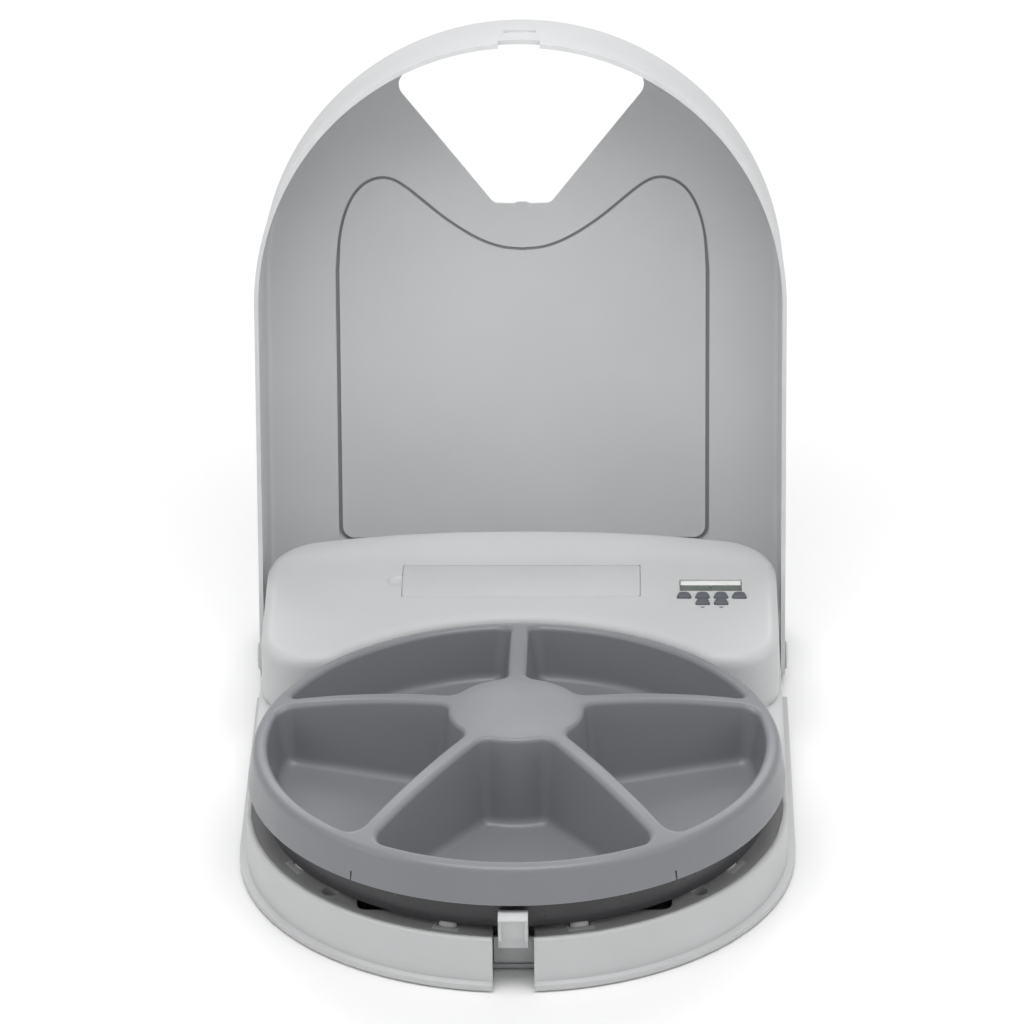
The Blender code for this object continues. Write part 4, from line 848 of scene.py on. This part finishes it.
for name, x0, x1, y0, y1, slot in (("display_left", 95.3, 113.5, 187.6, 195.4, "display_glass"),
                                   ("display_right", 113.8, 132.0, 187.6, 195.4, "display_glass"),
                                   ("display_strip", 95.6, 131.7, 195.8, 200.5, "white_acetal")):
    pane = carved(plate(x0, x1, y0, y1, -2.6, -1.0), soft=0.2)
    finished(moved(pane, TO_FRAME), name, "base", slot, 40.0, ("display_glass",))

for index, (x, y) in enumerate(KEYS[4:]):
    arrow = raised([(x - 1.6, y - 5.6), (x + 1.6, y - 5.6), (x, y - 7.0)], *on_face(0.0, 0.06))
    finished(moved(arrow, TO_FRAME), "arrow_%d" % (index + 1), "base", "dark_grey_key", 40.0)


def roller():
    """Barrel-shaped wheel with short stub axles, turned about Z."""
    half = [(0.0, 3.8), (1.1, 3.8), (1.2, 3.6), (1.2, 2.4), (2.6, 2.38), (3.7, 2.1), (4.6, 1.6),
            (5.2, 1.0), (5.5, 0.5)]
    return turned([(r, -z) for r, z in half] + [(5.6, 0.0)] + half[::-1], 40)


def retainer():
    """Thin frame on the deck round a roller, over the slots of the roller's stubs."""
    hole = block(-2.6, 2.6, -5.9, 5.9, 20.0, 40.0)
    return carved(block(-6.0, 6.0, -7.6, 7.6, 27.9, 28.55), cut=[hole], soft=0.12)


for corner in ("front_left", "front_right", "side_left", "side_right", "rear_left", "rear_right"):
    node = "roller_" + corner
    low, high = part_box(node)
    centre = ((low + high) / 2 - AXIS) / MM
    outward = Matrix.Rotation(math.atan2(centre.y, centre.x), 4, "Z")
    lying = outward @ Matrix.Rotation(math.radians(90), 4, "Y")
    wheel = moved(roller(), Matrix.Translation(centre) @ lying)
    finished(moved(wheel, TO_FRAME), node + "_wheel", node, "white_acetal", 40.0, (node,))
    frame_part = moved(retainer(), Matrix.Translation((centre.x, centre.y, 0.0)) @ outward)
    finished(moved(frame_part, TO_FRAME), node + "_retainer", "base", "light_grey_plastic", 34.0)


BASE_EDGE = 0.0005
SMALL_EDGE = 0.00025
OWN_SHAPES = {"bowl_tray", "rear_housing", "lid_shell", "lid_panel", "lid_latch", "display_glass"}
OWN_SHAPES |= set(KEY_NAMES) | {node for node in frame["nodes"] if node.startswith("roller_")}
for node in sorted(set(frame["nodes"]) - OWN_SHAPES):
    softened(node, BASE_EDGE if node == "base_shell" else SMALL_EDGE)


# ------------------------------------------------------------ studio and camera, in metres

WORLD_STRENGTH = 0.50
LAMPS = (    # name, place, what it points at, size, watts
    ("overhead", (0.0, -0.35, 1.15), (0.0, -0.05, 0.1), (0.9, 0.6), 7.2),
    ("backdrop", (0.0, 2.7, 2.2), (0.0, 1.3, 0.0), (3.2, 1.6), 52.0),
    ("side", (-1.9, -1.0, 1.2), (0.0, 0.0, 0.1), (1.2, 1.6), 6.4),
    ("side", (1.9, -1.0, 1.2), (0.0, 0.0, 0.1), (1.2, 1.6), 6.4),
)
SENSOR_MM = 36.0
LENS_MM = 210.973
VIEW_TURNS = (-1.14, 25.75, -0.60)              # degrees to the side, down and rolled
VIEW_FROM = (0.05911, -3.02988, 1.67976)        # from the foot of the tray's axis


def plain(name, colour, roughness):
    f = Finish(name, colour, roughness)
    clouds = f.tint(f.noise(3.0), lighter(colour, -0.01), lighter(colour, 0.01))
    f.link(clouds, f.shader.inputs["Base Color"])
    return f.mat


def floor_sheet():
    bm = bmesh.new()
    bmesh.ops.create_grid(bm, x_segments=1, y_segments=1, size=6.0)
    mesh = bpy.data.meshes.new("floor")
    bm.to_mesh(mesh)
    bm.free()
    obj = bpy.data.objects.new("floor", mesh)
    obj.location.z = -0.0002
    bpy.context.scene.collection.objects.link(obj)
    mesh.materials.append(plain("floor_white", (0.93, 0.93, 0.93), 0.6))


def soft_light(name, place, target, size, watts):
    lamp = bpy.data.lights.new(name, "AREA")
    lamp.shape = "RECTANGLE"
    lamp.size, lamp.size_y = size
    lamp.energy = watts
    obj = bpy.data.objects.new(name, lamp)
    obj.location = place
    obj.rotation_euler = (Vector(target) - Vector(place)).to_track_quat("-Z", "Y").to_euler()
    bpy.context.scene.collection.objects.link(obj)


def studio():
    floor_sheet()
    world = bpy.data.worlds.new("studio")
    bpy.context.scene.world = world
    world.use_nodes = True
    back = world.node_tree.nodes["Background"]
    back.inputs["Color"].default_value = (1.0, 1.0, 1.0, 1.0)
    back.inputs["Strength"].default_value = WORLD_STRENGTH
    for lamp in LAMPS:
        soft_light(*lamp)
    bpy.context.scene.view_settings.view_transform = "Standard"
    bpy.context.scene.view_settings.look = "None"


def camera():
    yaw, pitch, roll = (math.radians(a) for a in VIEW_TURNS)
    ahead = Vector((math.sin(yaw) * math.cos(pitch), math.cos(yaw) * math.cos(pitch), -math.sin(pitch)))
    right = Vector((math.cos(yaw), -math.sin(yaw), 0.0))
    up = right.cross(ahead)
    across = right * math.cos(roll) + up * math.sin(roll)
    rise = up * math.cos(roll) - right * math.sin(roll)
    lens = bpy.data.cameras.new("camera")
    lens.sensor_width = SENSOR_MM
    lens.lens = LENS_MM
    lens.clip_end = 30.0
    obj = bpy.data.objects.new("camera", lens)
    turn = Matrix((across, rise, -ahead)).transposed().to_4x4()
    obj.matrix_world = Matrix.Translation(AXIS + Vector(VIEW_FROM)) @ turn
    bpy.context.scene.collection.objects.link(obj)
    bpy.context.scene.camera = obj


studio()
camera()
bpy.context.view_layer.update()
